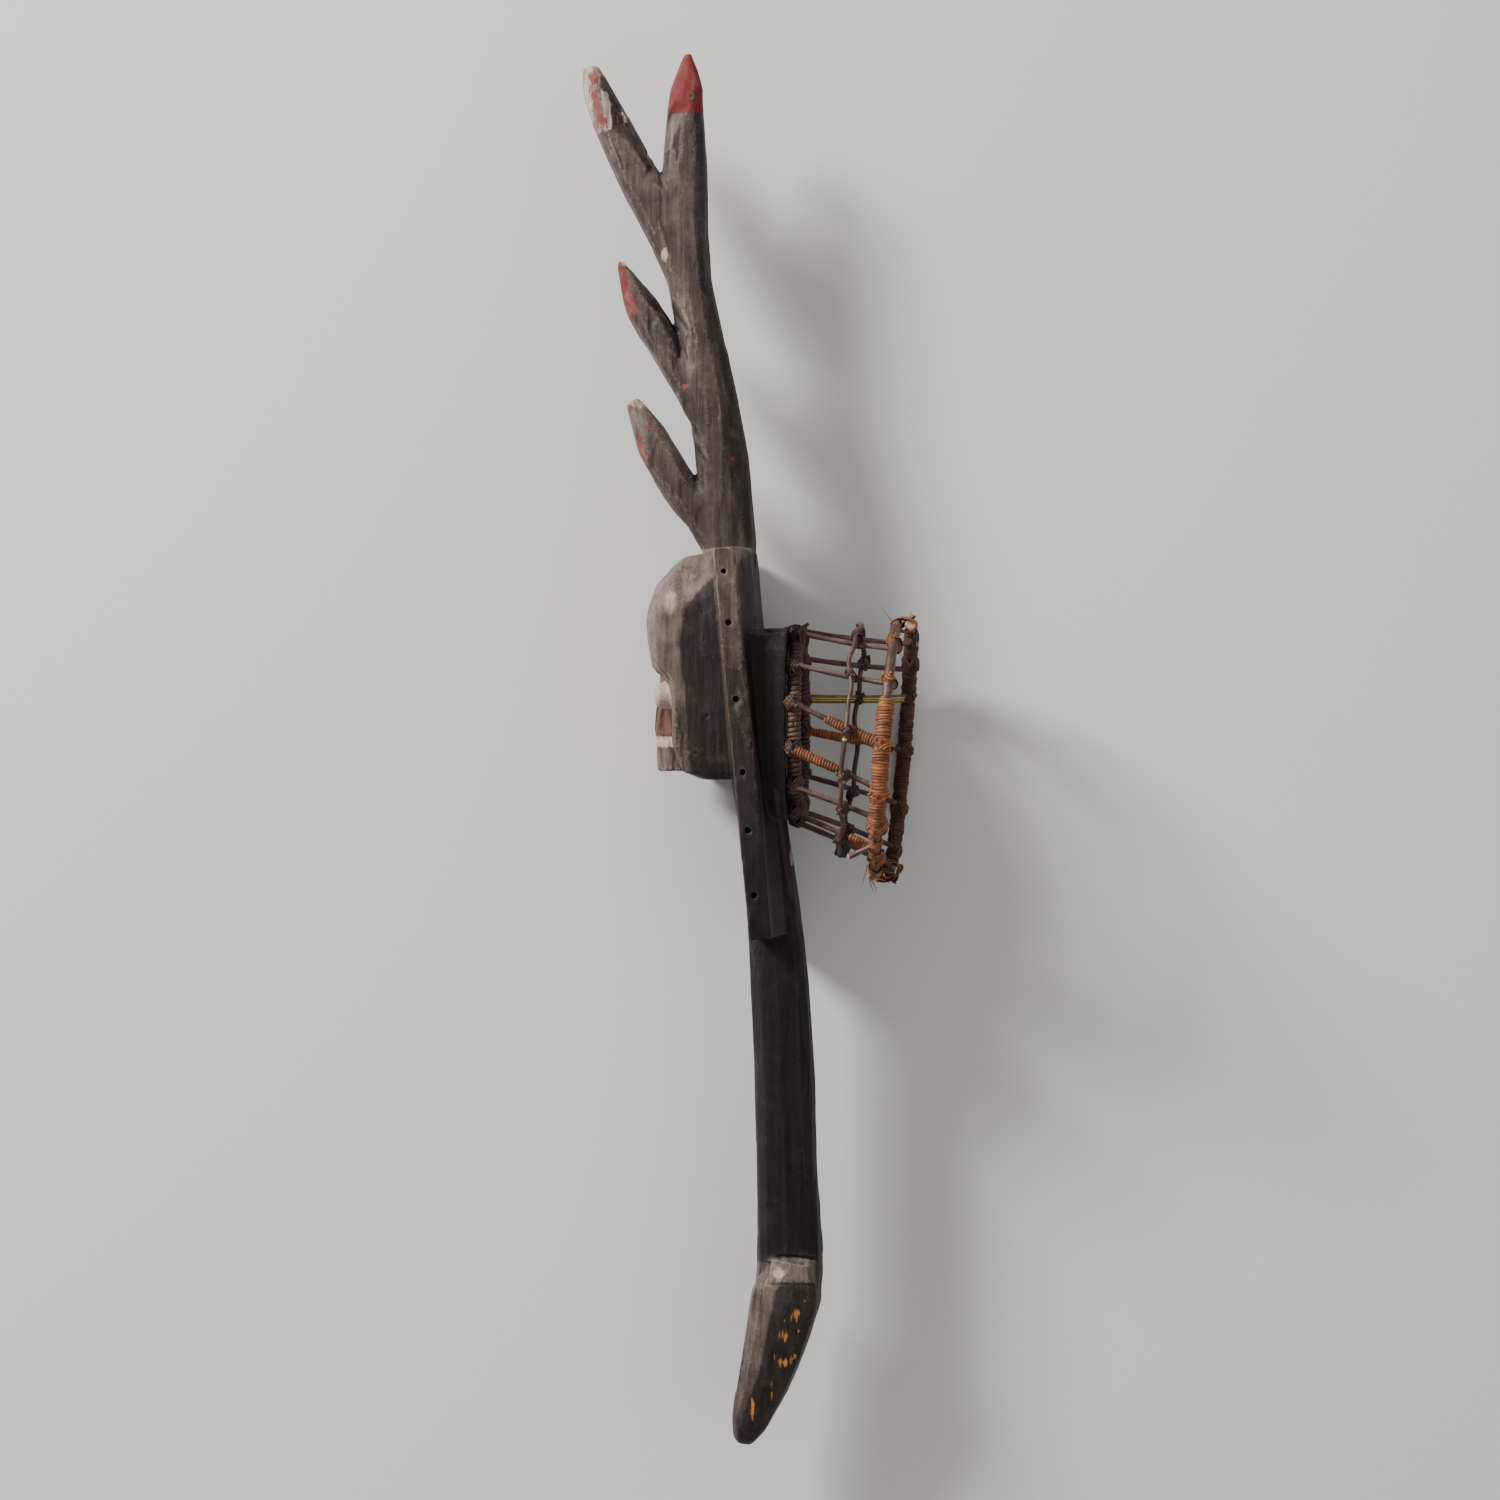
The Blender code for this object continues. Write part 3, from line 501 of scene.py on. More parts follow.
def bareField(seen, facing, zones):
    x, y = seen[:, 0], seen[:, 1]
    left, face = zones["leftProng"], zones["leftFace"]
    scraped, past = lineDistance(seen, paint["leftScrapedLine"])
    return np.max((
        within(zones["near"], patchField(seen, paint["barePatches"])),
        within(left, (74.0 - y) / 8.0 + rise(facing[:, 1], 0.3, 0.8)),
        within(left & (facing[:, 0] < -0.1), (112.0 - y) / 40.0),
        within(left & (face < 0), np.minimum((132 - y - 0.33 * (x - 600)) / 5.0, 0.12)),
        within(left & (face >= 0), np.minimum((118 - y) / 20.0, -0.30)),
        within(left, 0.9 - abs(scraped) / 4.0 - rise(past, -2, 3) * 2),
        within(zones["middleProng"], (266.0 - y) / 4.0),
        within(zones["lowProng"], (405.0 - y + (x - 630) * 0.25) / 5.0),
        within(zones["rightTip"], (56.0 - y) / 3.0),
    ), axis=0)


def faceFields(seen, spots, zones):
    # white round the eyes, above the mouth and thinly on it, and the reddish nose and cheek line
    upX, upY, upZ = spots[:, 0], spots[:, 1], abs(spots[:, 2])
    eye = 1.15 - np.hypot((upY - 0.0430) / 0.0135, (upZ - 0.0345) / 0.0185)
    ledge = np.minimum((upY + 0.0015) / 0.003, (0.0075 - upY) / 0.003)
    white = np.max((
        within(upX < -0.066, eye),
        within((upX < -0.064) & (upZ < 0.060), ledge),
        within(zones["mouth"], -0.55),
        # a painted glint on the foot's ledge, laid in with the white
        within(zones["near"], patchField(seen, paint["paintedGlintPatches"])),
    ), axis=0)
    nose = np.minimum(np.minimum((upY - 0.001) / 0.004, (0.070 - upY) / 0.006), (0.0165 - upZ) / 0.003)
    gap, past = lineDistance(seen, paint["cheekLine"])
    cheek = 0.35 - abs(gap) / 1.3 - rise(past, 0, 4)
    return white, np.maximum(within(upX < -0.068, nose), within((upZ > 0.055) & (upX < -0.04), cheek))


def brownField(seen, zones):
    brown = np.full(len(seen), paint["none"])
    for width, line in paint["brownLines"]:
        gap, past = lineDistance(seen, line)
        brown = np.maximum(brown, within((past < 2) & (zones["side"] > 0.1), 1 - abs(gap) / width))
    return brown


# how light the wood is, with painted light and shade laid in
def woodToneAndPaintedLight(seen, spots, zones):
    x, y = seen[:, 0], seen[:, 1]
    upY, upZ = spots[:, 1], abs(spots[:, 2])
    side, head = zones["side"], zones["head"]
    # painted light on the head's front and cap, painted shade on its side, split along the crown line
    litCrownShare = rise(-lineDistance(seen, tonesAndPaintedLight["crownLine"])[0], -1.2, 1.2)
    shadedSideTone, litFrontTone = ramp(upY, tonesAndPaintedLight["headSideShaded"]), ramp(upY, tonesAndPaintedLight["headFrontLit"])
    toneAndPaintedLight = np.where(head, shadedSideTone + (litFrontTone - shadedSideTone) * litCrownShare, ramp(upY, tonesAndPaintedLight["wood"]))
    # a painted highlight on the forehead
    highlightSpot = 1 - np.hypot((x - 670) / 9.0, (y - 602) / 17.0)
    toneAndPaintedLight = np.where(head, toneAndPaintedLight + tonesAndPaintedLight["paintedHighlight"] * rise(highlightSpot, 0.0, 0.8) * side, toneAndPaintedLight)
    toneAndPaintedLight = np.where(zones["mouth"], tonesAndPaintedLight["mouth"], toneAndPaintedLight)
    toneAndPaintedLight = np.where(zones["lowProng"], toneAndPaintedLight * (1 + tonesAndPaintedLight["lowProng"] * rise(462 - y, 0, 20)), toneAndPaintedLight)
    # painted light on the left prong's face, left of its edge line
    toneAndPaintedLight = np.where(zones["leftProng"] & (zones["leftFace"] < 0), toneAndPaintedLight * tonesAndPaintedLight["leftFace"], toneAndPaintedLight)
    # painted shade on the stem's right facet, beyond its edge line
    arris, _ = lineDistance(seen, stemArris)
    toneAndPaintedLight = np.where((upY > 0.18) & (arris > 0), toneAndPaintedLight * tonesAndPaintedLight["stemRightShade"], toneAndPaintedLight)
    for way, slope, reach, line in branchCuts:
        gap, past = lineDistance(seen, line)
        gap = gap if way == "right" else -gap
        flat = rise(gap, -0.4, 0.8) * (1 - rise(gap, reach * 0.7, reach)) * (1 - rise(past, -12, 2))
        toneAndPaintedLight = toneAndPaintedLight * (1 + tonesAndPaintedLight["cutLit" if way == "left" else "cutShaded"] * flat)
    # the board's edge strip in painted light at the top and painted shade towards the bottom
    strip = rise(upZ, 0.0770, 0.0790) * (upY < 0.17)
    toneAndPaintedLight = toneAndPaintedLight + (ramp(upY, tonesAndPaintedLight["strip"]) - toneAndPaintedLight) * strip
    # painted light on the foot's left bevel
    litBevel = 1 - rise(lineDistance(seen, footArris)[0], -1.0, 1.5)
    litBevel *= rise(y, 1255, 1268) * (1 - rise(y, 1330, 1425) * 0.6)
    toneAndPaintedLight = np.where(zones["foot"], toneAndPaintedLight * (1 + tonesAndPaintedLight["footBevelLight"] * litBevel), toneAndPaintedLight)
    # painted light on the ledge face of the foot
    ledge = (1 - rise(abs(y - 1270.5), 10.0, 13.5)) * rise(x, 767, 771) * (1 - rise(x, 813, 818)) * side
    toneAndPaintedLight = toneAndPaintedLight + ledge * tonesAndPaintedLight["footLedgeLight"]
    # painted light on the shaft's left edge
    litLeftEdge = (1 - rise(x, 757, 764)) * rise(y, 950, 1000) * (1 - rise(y, 1235, 1260))
    toneAndPaintedLight = toneAndPaintedLight * (1 + tonesAndPaintedLight["shaftEdgeLight"] * litLeftEdge)
    # painted shade on the block behind the board
    toneAndPaintedLight = np.where(zones["behind"], toneAndPaintedLight * tonesAndPaintedLight["behind"], toneAndPaintedLight)
    return np.maximum(toneAndPaintedLight, tonesAndPaintedLight["least"])


def paintFields(spots, facing):
    seen = viewPlace(spots)
    zones = carvedZones(spots, facing, seen)
    redHard, redWorn = redFields(seen, zones)
    white, nose = faceFields(seen, spots, zones)
    fields = {
        "redHard": redHard,
        "redWorn": redWorn,
        "bare": bareField(seen, facing, zones),
        "white": white,
        "nose": nose,
        "orange": within(zones["near"], patchField(seen, paint["orangeStrokes"])),
        "brown": brownField(seen, zones),
    }
    fields = {name: np.clip(values, paint["none"], 1.0) for name, values in fields.items()}
    fields["toneAndPaintedLight"] = woodToneAndPaintedLight(seen, spots, zones)
    return fields


def surfaceFields(mesh):
    # edge wear and hollows, read from the shape itself
    spots, facing, ends, count = readMesh(mesh)
    calm = spots.copy()
    fine = None
    for turn in range(16):
        calm = calm * 0.4 + aroundMean(calm, ends, count) * 0.6
        if turn == 3:
            fine = np.einsum("ij,ij->i", spots - calm, facing)
    broad = np.einsum("ij,ij->i", spots - calm, facing)
    fields = {
        "edge": np.clip(fine / 0.00045, -1, 1),
        "proud": np.clip(broad / 0.0014, -1, 1),
    }
    for name in fields:
        fields[name] = fields[name] * 0.5 + aroundMean(fields[name], ends, count) * 0.5
    return spots, fields


def makeBody(material):
    print("carving the wood")
    bm = closedCopy("carved_body")
    addWebs(bm)
    obj = asObject("carved_wood", bm)
    remesh = obj.modifiers.new("remesh", "REMESH")
    remesh.mode = "VOXEL"
    remesh.voxel_size = carving["voxel"]
    soften = obj.modifiers.new("soften", "SMOOTH")
    soften.factor = 0.5
    soften.iterations = carving["softening"]
    settle(obj)
    fillValleys(obj.data)
    cutFlats(obj.data)
    carveSurface(obj.data)
    denseSpots, fields = surfaceFields(obj.data)
    thin = obj.modifiers.new("thin", "DECIMATE")
    thin.ratio = min(1.0, carving["triangles"] / (2 * len(obj.data.polygons)))
    settle(obj)
    tree = KDTree(len(denseSpots))
    for i, s in enumerate(denseSpots):
        tree.insert(s, i)
    tree.balance()
    nearest = np.array([tree.find(v.co)[1] for v in obj.data.vertices])
    fields = {name: values[nearest] for name, values in fields.items()}
    spots, facing, _, _ = readMesh(obj.data)
    fields.update(paintFields(spots, facing))
    for name, values in fields.items():
        layer = obj.data.attributes.new(name, "FLOAT", "POINT")
        layer.data.foreach_set("value", values.astype(np.float32))
    obj.data.transform(lay)
    obj.data.shade_smooth()
    obj.data.materials.clear()
    obj.data.materials.append(material)
    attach(obj, "root")
    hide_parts("carved_body")
    print("carved wood:", len(obj.data.polygons), "faces")


# Rods, windings and lashings of the cap frame

def makePath(spots, middle, closed=False):
    # a run of spots with, at each, its direction, the way out from the middle and the way across
    spots = np.array(spots, float)
    if closed:
        spots = np.vstack([spots, spots[:1]])
        before = np.vstack([spots[-2], spots[:-1]])
        after = np.vstack([spots[1:], spots[1]])
    else:
        before = np.vstack([spots[0], spots[:-1]])
        after = np.vstack([spots[1:], spots[-1]])
    run = after - before
    run /= np.linalg.norm(run, axis=1)[:, None]
    out = spots - np.array(middle, float)
    out -= run * np.einsum("ij,ij->i", out, run)[:, None]
    out /= np.linalg.norm(out, axis=1)[:, None]
    step = np.linalg.norm(np.diff(spots, axis=0), axis=1)
    return {
        "spots": spots,
        "run": run,
        "out": out,
        "side": np.cross(run, out),
        "along": np.concatenate([[0.0], np.cumsum(step)]),
        "closed": closed,
    }


def onPath(path, along, out=0.0, side=0.0):
    # spots at distances along the path, moved out and sideways
    along = np.atleast_1d(np.asarray(along, float))
    if path["closed"]:
        along = along % path["along"][-1]
    parts = [
        np.stack([np.interp(along, path["along"], path[key][:, k]) for k in range(3)], axis=1)
        for key in ("spots", "out", "side", "run")
    ]
    stretch = np.minimum(along, 0.0) + np.maximum(along - path["along"][-1], 0.0)
    placed = parts[0] + parts[3] * stretch[:, None]
    return placed + parts[1] * np.atleast_1d(out)[:, None] + parts[2] * np.atleast_1d(side)[:, None]


def bendOnto(bm, path):
    # a straight shape along X is laid along the path, with its Y outwards
    local = np.array([v.co[:] for v in bm.verts])
    placed = onPath(path, local[:, 0], local[:, 1], local[:, 2])
    for v, spot in zip(bm.verts, placed):
        v.co = spot


def closeEnds(bm):
    bmesh.ops.holes_fill(bm, edges=[e for e in bm.edges if e.is_boundary], sides=0)
    bmesh.ops.recalc_face_normals(bm, faces=bm.faces)


def newBasket():
    # an empty mesh with the layers that every rod and winding has
    bm = bmesh.new()
    bm.verts.layers.float_vector.new("strand")
    bm.verts.layers.float.new("cut")
    return bm


def spinAlong(bm, length, angle, steps):
    # carries what is there along X, turning it round X as it goes
    geom = bm.verts[:] + bm.edges[:]
    spin = {"cent": (0, 0, 0), "axis": (1, 0, 0), "angle": angle, "steps": steps, "use_duplicate": False}
    bmesh.ops.spin(bm, geom=geom, dvec=(length / steps, 0, 0), **spin)


def swell(v, scale):
    v.co.y *= scale
    v.co.z *= scale


def straightRod(length, radius, sides, steps, wobble=0.0, seed=0, taper=0.0):
    bm = newBasket()
    strand, cut = bm.verts.layers.float_vector["strand"], bm.verts.layers.float["cut"]
    bmesh.ops.create_circle(bm, segments=sides, radius=radius)
    bmesh.ops.rotate(bm, verts=bm.verts, cent=(0, 0, 0), matrix=Matrix.Rotation(math.pi / 2, 3, "Y"))
    spinAlong(bm, length, 0.0, steps)
    for v in bm.verts:
        x = v.co.x
        v[strand] = (x + seed * 0.37, v.co.y, v.co.z)
        v[cut] = 1.0 if x < 1e-6 or x > length - 1e-6 else 0.0
        uneven = 1 + wobble * math.sin(x * 130.0 + seed) + wobble * 0.7 * math.sin(x * 310.0 + 2 * seed)
        swell(v, uneven * (1 - taper * x / length))
    return bm


def rodOn(path, radius, sides, steps, wobble=0.0, seed=0, taper=0.0, flat=1.0):
    # a rod along a path, closed at its ends or all the way round
    rod = straightRod(path["along"][-1], radius, sides, steps, wobble, seed, taper)
    if not path["closed"]:
        closeEnds(rod)
    for v in rod.verts:
        v.co.y *= flat
    bendOnto(rod, path)
    if path["closed"]:
        bmesh.ops.remove_doubles(rod, verts=rod.verts, dist=0.00005)
        bmesh.ops.recalc_face_normals(rod, faces=rod.faces)
    return rod


def straightWinding(length, radius, pitch, halfWide, halfThick, sides=6, around=14, tilt=12.0, seed=0):
    # one strand wound round a straight rod
    turns = max(1, round(length / pitch))
    steps = turns * around
    bm = newBasket()
    strand = bm.verts.layers.float_vector["strand"]
    bmesh.ops.create_circle(bm, segments=sides, radius=1.0)
    bmesh.ops.scale(bm, vec=(halfWide, halfThick, 1.0), verts=bm.verts)
    bmesh.ops.rotate(bm, verts=bm.verts, cent=(0, 0, 0), matrix=Matrix.Rotation(math.radians(tilt), 3, "Z"))
    bmesh.ops.translate(bm, vec=(0, radius, 0), verts=bm.verts)
    spinAlong(bm, length, 2 * math.pi * turns, steps)
    stride = 2 * math.pi * radius / around
    for i, v in enumerate(bm.verts):
        step = i // sides
        across = v.co.x - step * (length / steps)
        v[strand] = (step * stride + seed * 0.53, across, math.hypot(v.co.y, v.co.z) - radius)
    return bm


def unevenWinding(bm, spread, slip, seed):
    # each turn sits a little higher or lower and closer or further than the next
    local = np.array([v.co[:] for v in bm.verts])
    lift = softNoise(local * (420.0, 90.0, 90.0), seed)
    shift = softNoise(local * (260.0, 150.0, 150.0), seed + 1)
    radial = np.linalg.norm(local[:, 1:], axis=1)
    for v, up, along, r in zip(bm.verts, lift, shift, radial):
        swell(v, 1 + up * spread / r)
        v.co.x += along * slip


def easeEnds(bm, length, reach, drop):
    # windings thin out towards both ends of their run
    for v in bm.verts:
        x = min(max(min(v.co.x, length - v.co.x) / reach, 0.0), 1.0)
        swell(v, 1 - drop * (1 - x) ** 2 / math.hypot(v.co.y, v.co.z))


def joinInto(target, bm):
    mesh = bpy.data.meshes.new("part")
    bm.to_mesh(mesh)
    bm.free()
    target.from_mesh(mesh)
    bpy.data.meshes.remove(mesh)


def finishPiece(name, bm, material, replaced=(), sharp=None):
    bmesh.ops.transform(bm, matrix=lay, verts=bm.verts)
    for v in bm.verts:
        v.co.z = max(v.co.z, 0.0002)  # flattened where it lies on the floor
    piece = asObject(name, bm)
    piece.data.materials.append(material)
    piece.data.shade_smooth()
    if sharp:
        piece.data.set_sharp_from_angle(angle=math.radians(sharp))
    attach(piece, "root")
    if replaced:
        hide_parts(*replaced)
    return piece


smallRing = {
    "place": 0.0370,
    "middle": 0.0176,
    "half": (0.0760, 0.0580),
    "rod": 0.0040,
    "winding": 0.0050,
    "wrap": {"pitch": 0.0043, "strand": (0.0024, 0.0013), "spread": 0.0007},
}
middleRing = {"place": 0.0820, "lean": 0.085, "radius": 0.0022, "sway": 0.0020}
largeRing = {
    "middle": -0.0044,
    "half": (0.1100, 0.0955),
    "lean": 0.085,
    "wrap": {"pitch": 0.0026, "strand": (0.0016, 0.0010), "ends": 0.0016, "spread": 0.0010},
    "near": {
        "place": 0.1145, "ends": (-100.0, 96.0), "wound": (-40.0, 23.0),
        "bare": 0.0044, "winding": 0.0068, "seed": 21,
    },
    "far": {
        "place": 0.1255, "ends": (84.0, 262.0), "wound": (119.0, 231.0),
        "bare": 0.0042, "winding": 0.0058, "seed": 31,
    },
}
solidWidths = {
    # what the solids use, so that the rods run where they do
    "smallRing": 0.0070,
    "rib": 0.0030,
    "near": (0.0053, 0.0082, -42.0, 24.0),
    "far": (0.0047, 0.0070, 118.0, 232.0),
}
ribs = {
    "radius": 0.0024,
    "rows": {
        # angle at the small ring and at the large ring, counted from the near side
        "rib_top_near": (70.0, 60.0),
        "rib_high_near": (38.0, 34.0),
        "rib_mid_near": (13.0, 2.0),
        "rib_low_near": (-15.0, -20.0),
        "rib_under_near": (-40.0, -37.0),
        "rib_bottom_near": (-66.0, -60.0),
        "rib_bottom": (-90.0, -90.0),
        "rib_top_far": (104.0, 112.0),
        "rib_high_far": (135.0, 134.0),
        "rib_mid_far": (183.0, 180.0),
        "rib_low_far": (212.0, 209.0),
        "rib_bottom_far": (243.0, 238.0),
    },
    "bow": 0.0016,
    "start": 0.0300,
    "past": 0.0060,
    "wrap": {"pitch": 0.0026, "strand": (0.0016, 0.0007), "ends": 0.0006, "spread": 0.0004},
    # windings on single ribs: from and to as shares of the rib, radius at both ends
    "wound": {
        "rib_mid_near": (0.38, 0.93, 0.0034, 0.0048),
        "rib_low_near": (0.06, 0.50, 0.0040, 0.0036),
        "rib_mid_far": (0.10, 0.55, 0.0034, 0.0034),
        "rib_bottom_near": (0.62, 0.92, 0.0034, 0.0038),
    },
}
cane = {"angles": (163.0, 153.0), "halfWide": 0.0041, "halfThick": 0.0009, "clear": 0.0011}
coneMiddle = (smallRing["middle"] + largeRing["middle"]) / 2


def ringSpot(angle, place, lean, middle, half, out=0.0):
    s = math.sin(math.radians(angle))
    c = math.cos(math.radians(angle))
    slope = np.array([s / half[0], c / half[1]])
    slope /= np.linalg.norm(slope)
    y = middle + half[0] * s + out * slope[0]
    z = half[1] * c + out * slope[1]
    return np.array([place + lean * (y - middle), y, z])


def largeSpot(angle, side, out=0.0):
    ring = largeRing
    return ringSpot(angle, ring[side]["place"], ring["lean"], ring["middle"], ring["half"], out)


def smallSpot(angle, out=0.0):
    return ringSpot(angle, smallRing["place"], 0.0, smallRing["middle"], smallRing["half"], out)


def hoopPath(side):
    low, high = largeRing[side]["ends"]
    angles = np.linspace(low, high, 120)
    centre = (largeRing[side]["place"], largeRing["middle"], 0.0)
    return makePath([largeSpot(a, side) for a in angles], centre), angles


def smallPath():
    spots = [smallSpot(a) for a in np.linspace(0, 360, 145)[:-1]]
    return makePath(spots, (smallRing["place"], smallRing["middle"], 0.0), True)


def ribPath(angles, thickness):
    small, large = angles
    start = smallSpot(small, solidWidths["smallRing"] + thickness + 0.0003)
    side = "near" if -80.0 < large < 80.0 else "far"
    bare, wrap, low, high = solidWidths[side]
    wound = min(max(min(large - low, high - large) / 3.0, 0.0), 1.0)
    local = bare + (wrap - bare) * wound
    end = largeSpot(large, side, -(local + thickness + 0.0010))
    reach = end[0] - start[0]
    first = (ribs["start"] - start[0]) / reach + 0.02
    last = 1 + ribs["past"] / reach
    spots = []
    for t in np.linspace(first, last, 24):
        spot = start + (end - start) * t
        out = spot - np.array([0.0, coneMiddle, 0.0])
        out[0] = 0.0
        out /= np.linalg.norm(out)
        spots.append(spot - out * ribs["bow"] * 4 * t * (1 - t))
    return makePath(spots, (spots[12][0], coneMiddle, 0.0))


def middlePath():
    spots = []
    for i, angle in enumerate(np.linspace(0, 360, 97)[:-1]):
        low = smallSpot(angle, 0.0070)
        high = largeSpot(angle, "near", -0.0053)
        along = 0.5
        sway = middleRing["sway"] * (math.sin(angle * 0.105) + 0.6 * math.sin(angle * 0.2443 + 1.0))
        if i < 8 or i > 88:
            sway *= min(i, 96 - i) / 8
        for _ in range(6):
            spot = low + (high - low) * along
            wish = middleRing["place"] + middleRing["lean"] * spot[1]
            along += (wish - spot[0]) / (high[0] - low[0])
        spot = low + (high - low) * along
        centre = np.array([spot[0], coneMiddle, 0.0])
        out = (spot - centre) / np.linalg.norm(spot - centre)
        spots.append(spot + out * 0.0058 + np.array([sway, 0.0, 0.0]))
    return makePath(spots, (middleRing["place"], coneMiddle, 0.0), True)


def windingOn(path, start, end, radius, wrap, seed, radiusTo=None):
    # a strand wound round part of a path, over a plain core that closes the gaps between its turns
    length = end - start
    core = straightRod(length, radius - wrap["strand"][1] * 0.9, 10, max(4, int(length / 0.004)), 0.0, seed)
    bm = straightWinding(length, radius, wrap["pitch"], *wrap["strand"], seed=seed)
    unevenWinding(bm, wrap["spread"], wrap["spread"], seed)
    for made in (core, bm):
        easeEnds(made, length, 0.008, wrap["ends"])
        closeEnds(made)
    joinInto(bm, core)
    if radiusTo:
        for v in bm.verts:
            swell(v, 1 + (radiusTo / radius - 1) * min(max(v.co.x / length, 0.0), 1.0))
    bmesh.ops.translate(bm, vec=(start, 0, 0), verts=bm.verts)
    bendOnto(bm, path)
    return bm


def addCoil(target, centre, axis, out, halfOut, halfSide, length, turns, strand, seed):
    # a few turns of strand round two rods that lie together
    axis = Vector(axis).normalized()
    out = Vector(out)
    out = (out - axis * out.dot(axis)).normalized()
    side = axis.cross(out)
    radius = (halfOut + halfSide) / 2
    bm = straightWinding(length, radius, length / turns, *strand, sides=5, around=14, tilt=6.0, seed=seed)
    unevenWinding(bm, ties["spread"], ties["spread"], seed)
    closeEnds(bm)
    bmesh.ops.translate(bm, vec=(-length / 2, 0, 0), verts=bm.verts)
    for v in bm.verts:
        radial = max(math.hypot(v.co.y, v.co.z), 1e-6)
        v.co.y *= (halfOut + radial - radius) / radial
        v.co.z *= (halfSide + radial - radius) / radial
    place = Matrix((axis, out, side)).transposed().to_4x4()
    place.translation = Vector(centre)
    bmesh.ops.transform(bm, matrix=place, verts=bm.verts)
    joinInto(target, bm)


def crossing(first, second):
    # where two paths pass closest: the middle, both directions, the way between them and the gap
    a, b = first["spots"], second["spots"]
    gaps = np.linalg.norm(a[:, None, :] - b[None, :, :], axis=2)
    i, j = np.unravel_index(np.argmin(gaps), gaps.shape)
    return (a[i] + b[j]) / 2, first["run"][i], second["run"][j], b[j] - a[i], gaps[i, j]


def lashing(target, first, second, firstRadius, secondRadius, strand, seed):
    # turns both ways across the place where two rods cross
    wide, thick = strand
    centre, runA, runB, out, gap = crossing(first, second)
    if np.dot(runA, runB) < 0:
        runB = -runB
    centre = centre + out / gap * (secondRadius - firstRadius) / 2
    halfOut = gap / 2 + (firstRadius + secondRadius) / 2 + thick
    halfSide = max(firstRadius, secondRadius) * 1.05 + thick
    for k, axis in enumerate((runA + runB, runA - runB)):
        turns = ties["turns"] - k
        halves = (halfOut + k * thick, halfSide + k * thick)
        addCoil(target, centre, axis, out, *halves, turns * wide * 1.75, turns, strand, seed + k)


def addStrand(target, spots, radius, sides, wobble, seed, taper, flat, beside):
    # a short free rod or strand; beside is a place off its line, from which its own way out is counted
    path = makePath(spots, np.array(spots[0]) + beside)
    joinInto(target, rodOn(path, radius, sides, len(spots) - 1, wobble, seed, taper, flat))


def looseEnd(target, spot, direction, bend, length, radius, seed):
    # the free end of a strand, curling away and thinning
    spot, direction, bend = (np.array(v, float) for v in (spot, direction, bend))
    direction /= np.linalg.norm(direction)
    spots = [spot + direction * length * t + bend * length * t * t for t in np.linspace(0, 1, 12)]
    addStrand(target, spots, radius, 5, 0.0, seed, 0.75, 0.55, np.array([0.013, -0.02, 0.011]))


def stick(target, spot, direction, length, radius, seed):
    spot, direction = np.array(spot, float), np.array(direction, float)
    direction /= np.linalg.norm(direction)
    spots = [spot + direction * length * (t - 0.5) for t in np.linspace(0, 1, 8)]
    beside = np.array([0.021, -0.017, 0.03]) + direction * length * 0.5
    addStrand(target, spots, radius, 8, 0.05, seed, 0.0, 1.0, beside)


def makeHoop(side, windingMaterial):
    sizes = largeRing[side]
    path, angles = hoopPath(side)
    rod = rodOn(path, sizes["bare"], 12, 110, 0.04, 1.3)
    finishPiece(side + "_hoop_rod", rod, finishes["rattan_rod"], (side + "_hoop",), 50)
    start, end = np.interp(sizes["wound"], angles, path["along"])
    winding = windingOn(path, start, end, sizes["winding"], largeRing["wrap"], sizes["seed"])
    finishPiece(side + "_hoop_winding", winding, windingMaterial)
    return path


def makeSmallRing():
    path = smallPath()
    rod = rodOn(path, smallRing["rod"], 10, 120)
    wrap = smallRing["wrap"]
    winding = straightWinding(path["along"][-1], smallRing["winding"], wrap["pitch"], *wrap["strand"])
    unevenWinding(winding, wrap["spread"], wrap["spread"], 41)
    closeEnds(winding)
    bendOnto(winding, path)
    joinInto(rod, winding)
    finishPiece("small_ring_wound", rod, finishes["split_rattan"], ("small_ring",))
    return path


def makeMiddleRing():
    path = middlePath()
    rod = rodOn(path, middleRing["radius"], 10, 160)
    finishPiece("middle_ring_rod", rod, finishes["rattan_rod"], ("middle_ring",))
    return path


def makeRibs():
    paths = {}
    wraps = newBasket()
    for i, (name, angles) in enumerate(ribs["rows"].items()):
        path = ribPath(angles, solidWidths["rib"])
        paths[name] = path
        rod = rodOn(path, ribs["radius"], 10, 30, 0.05, i)
        finishPiece(name + "_rod", rod, finishes["rattan_rod"], (name,), 50)
        if name in ribs["wound"]:
            low, high, radius, radiusTo = ribs["wound"][name]
            start, end = low * path["along"][-1], high * path["along"][-1]
            joinInto(wraps, windingOn(path, start, end, radius, ribs["wrap"], 60 + i, radiusTo))
    finishPiece("rib_windings", wraps, finishes["raffia"])
    return paths


def makeCane():
    path = ribPath(cane["angles"], cane["clear"])
    strip = straightRod(path["along"][-1], 1.0, 12, 30, 0.0, 5)
    strand = strip.verts.layers.float_vector["strand"]
    for v in strip.verts:
        v.co.y *= cane["halfThick"] * (1 + 0.15 * math.sin(v.co.x * 90))
        v.co.z *= cane["halfWide"] * (1 + 0.04 * math.sin(v.co.x * 60 + 1))
        v[strand] = (v.co.x, v.co.y, v.co.z)
    closeEnds(strip)
    bendOnto(strip, path)
    finishPiece("cane_split", strip, finishes["split_cane"], ("cane_strip",), 60)
    return path


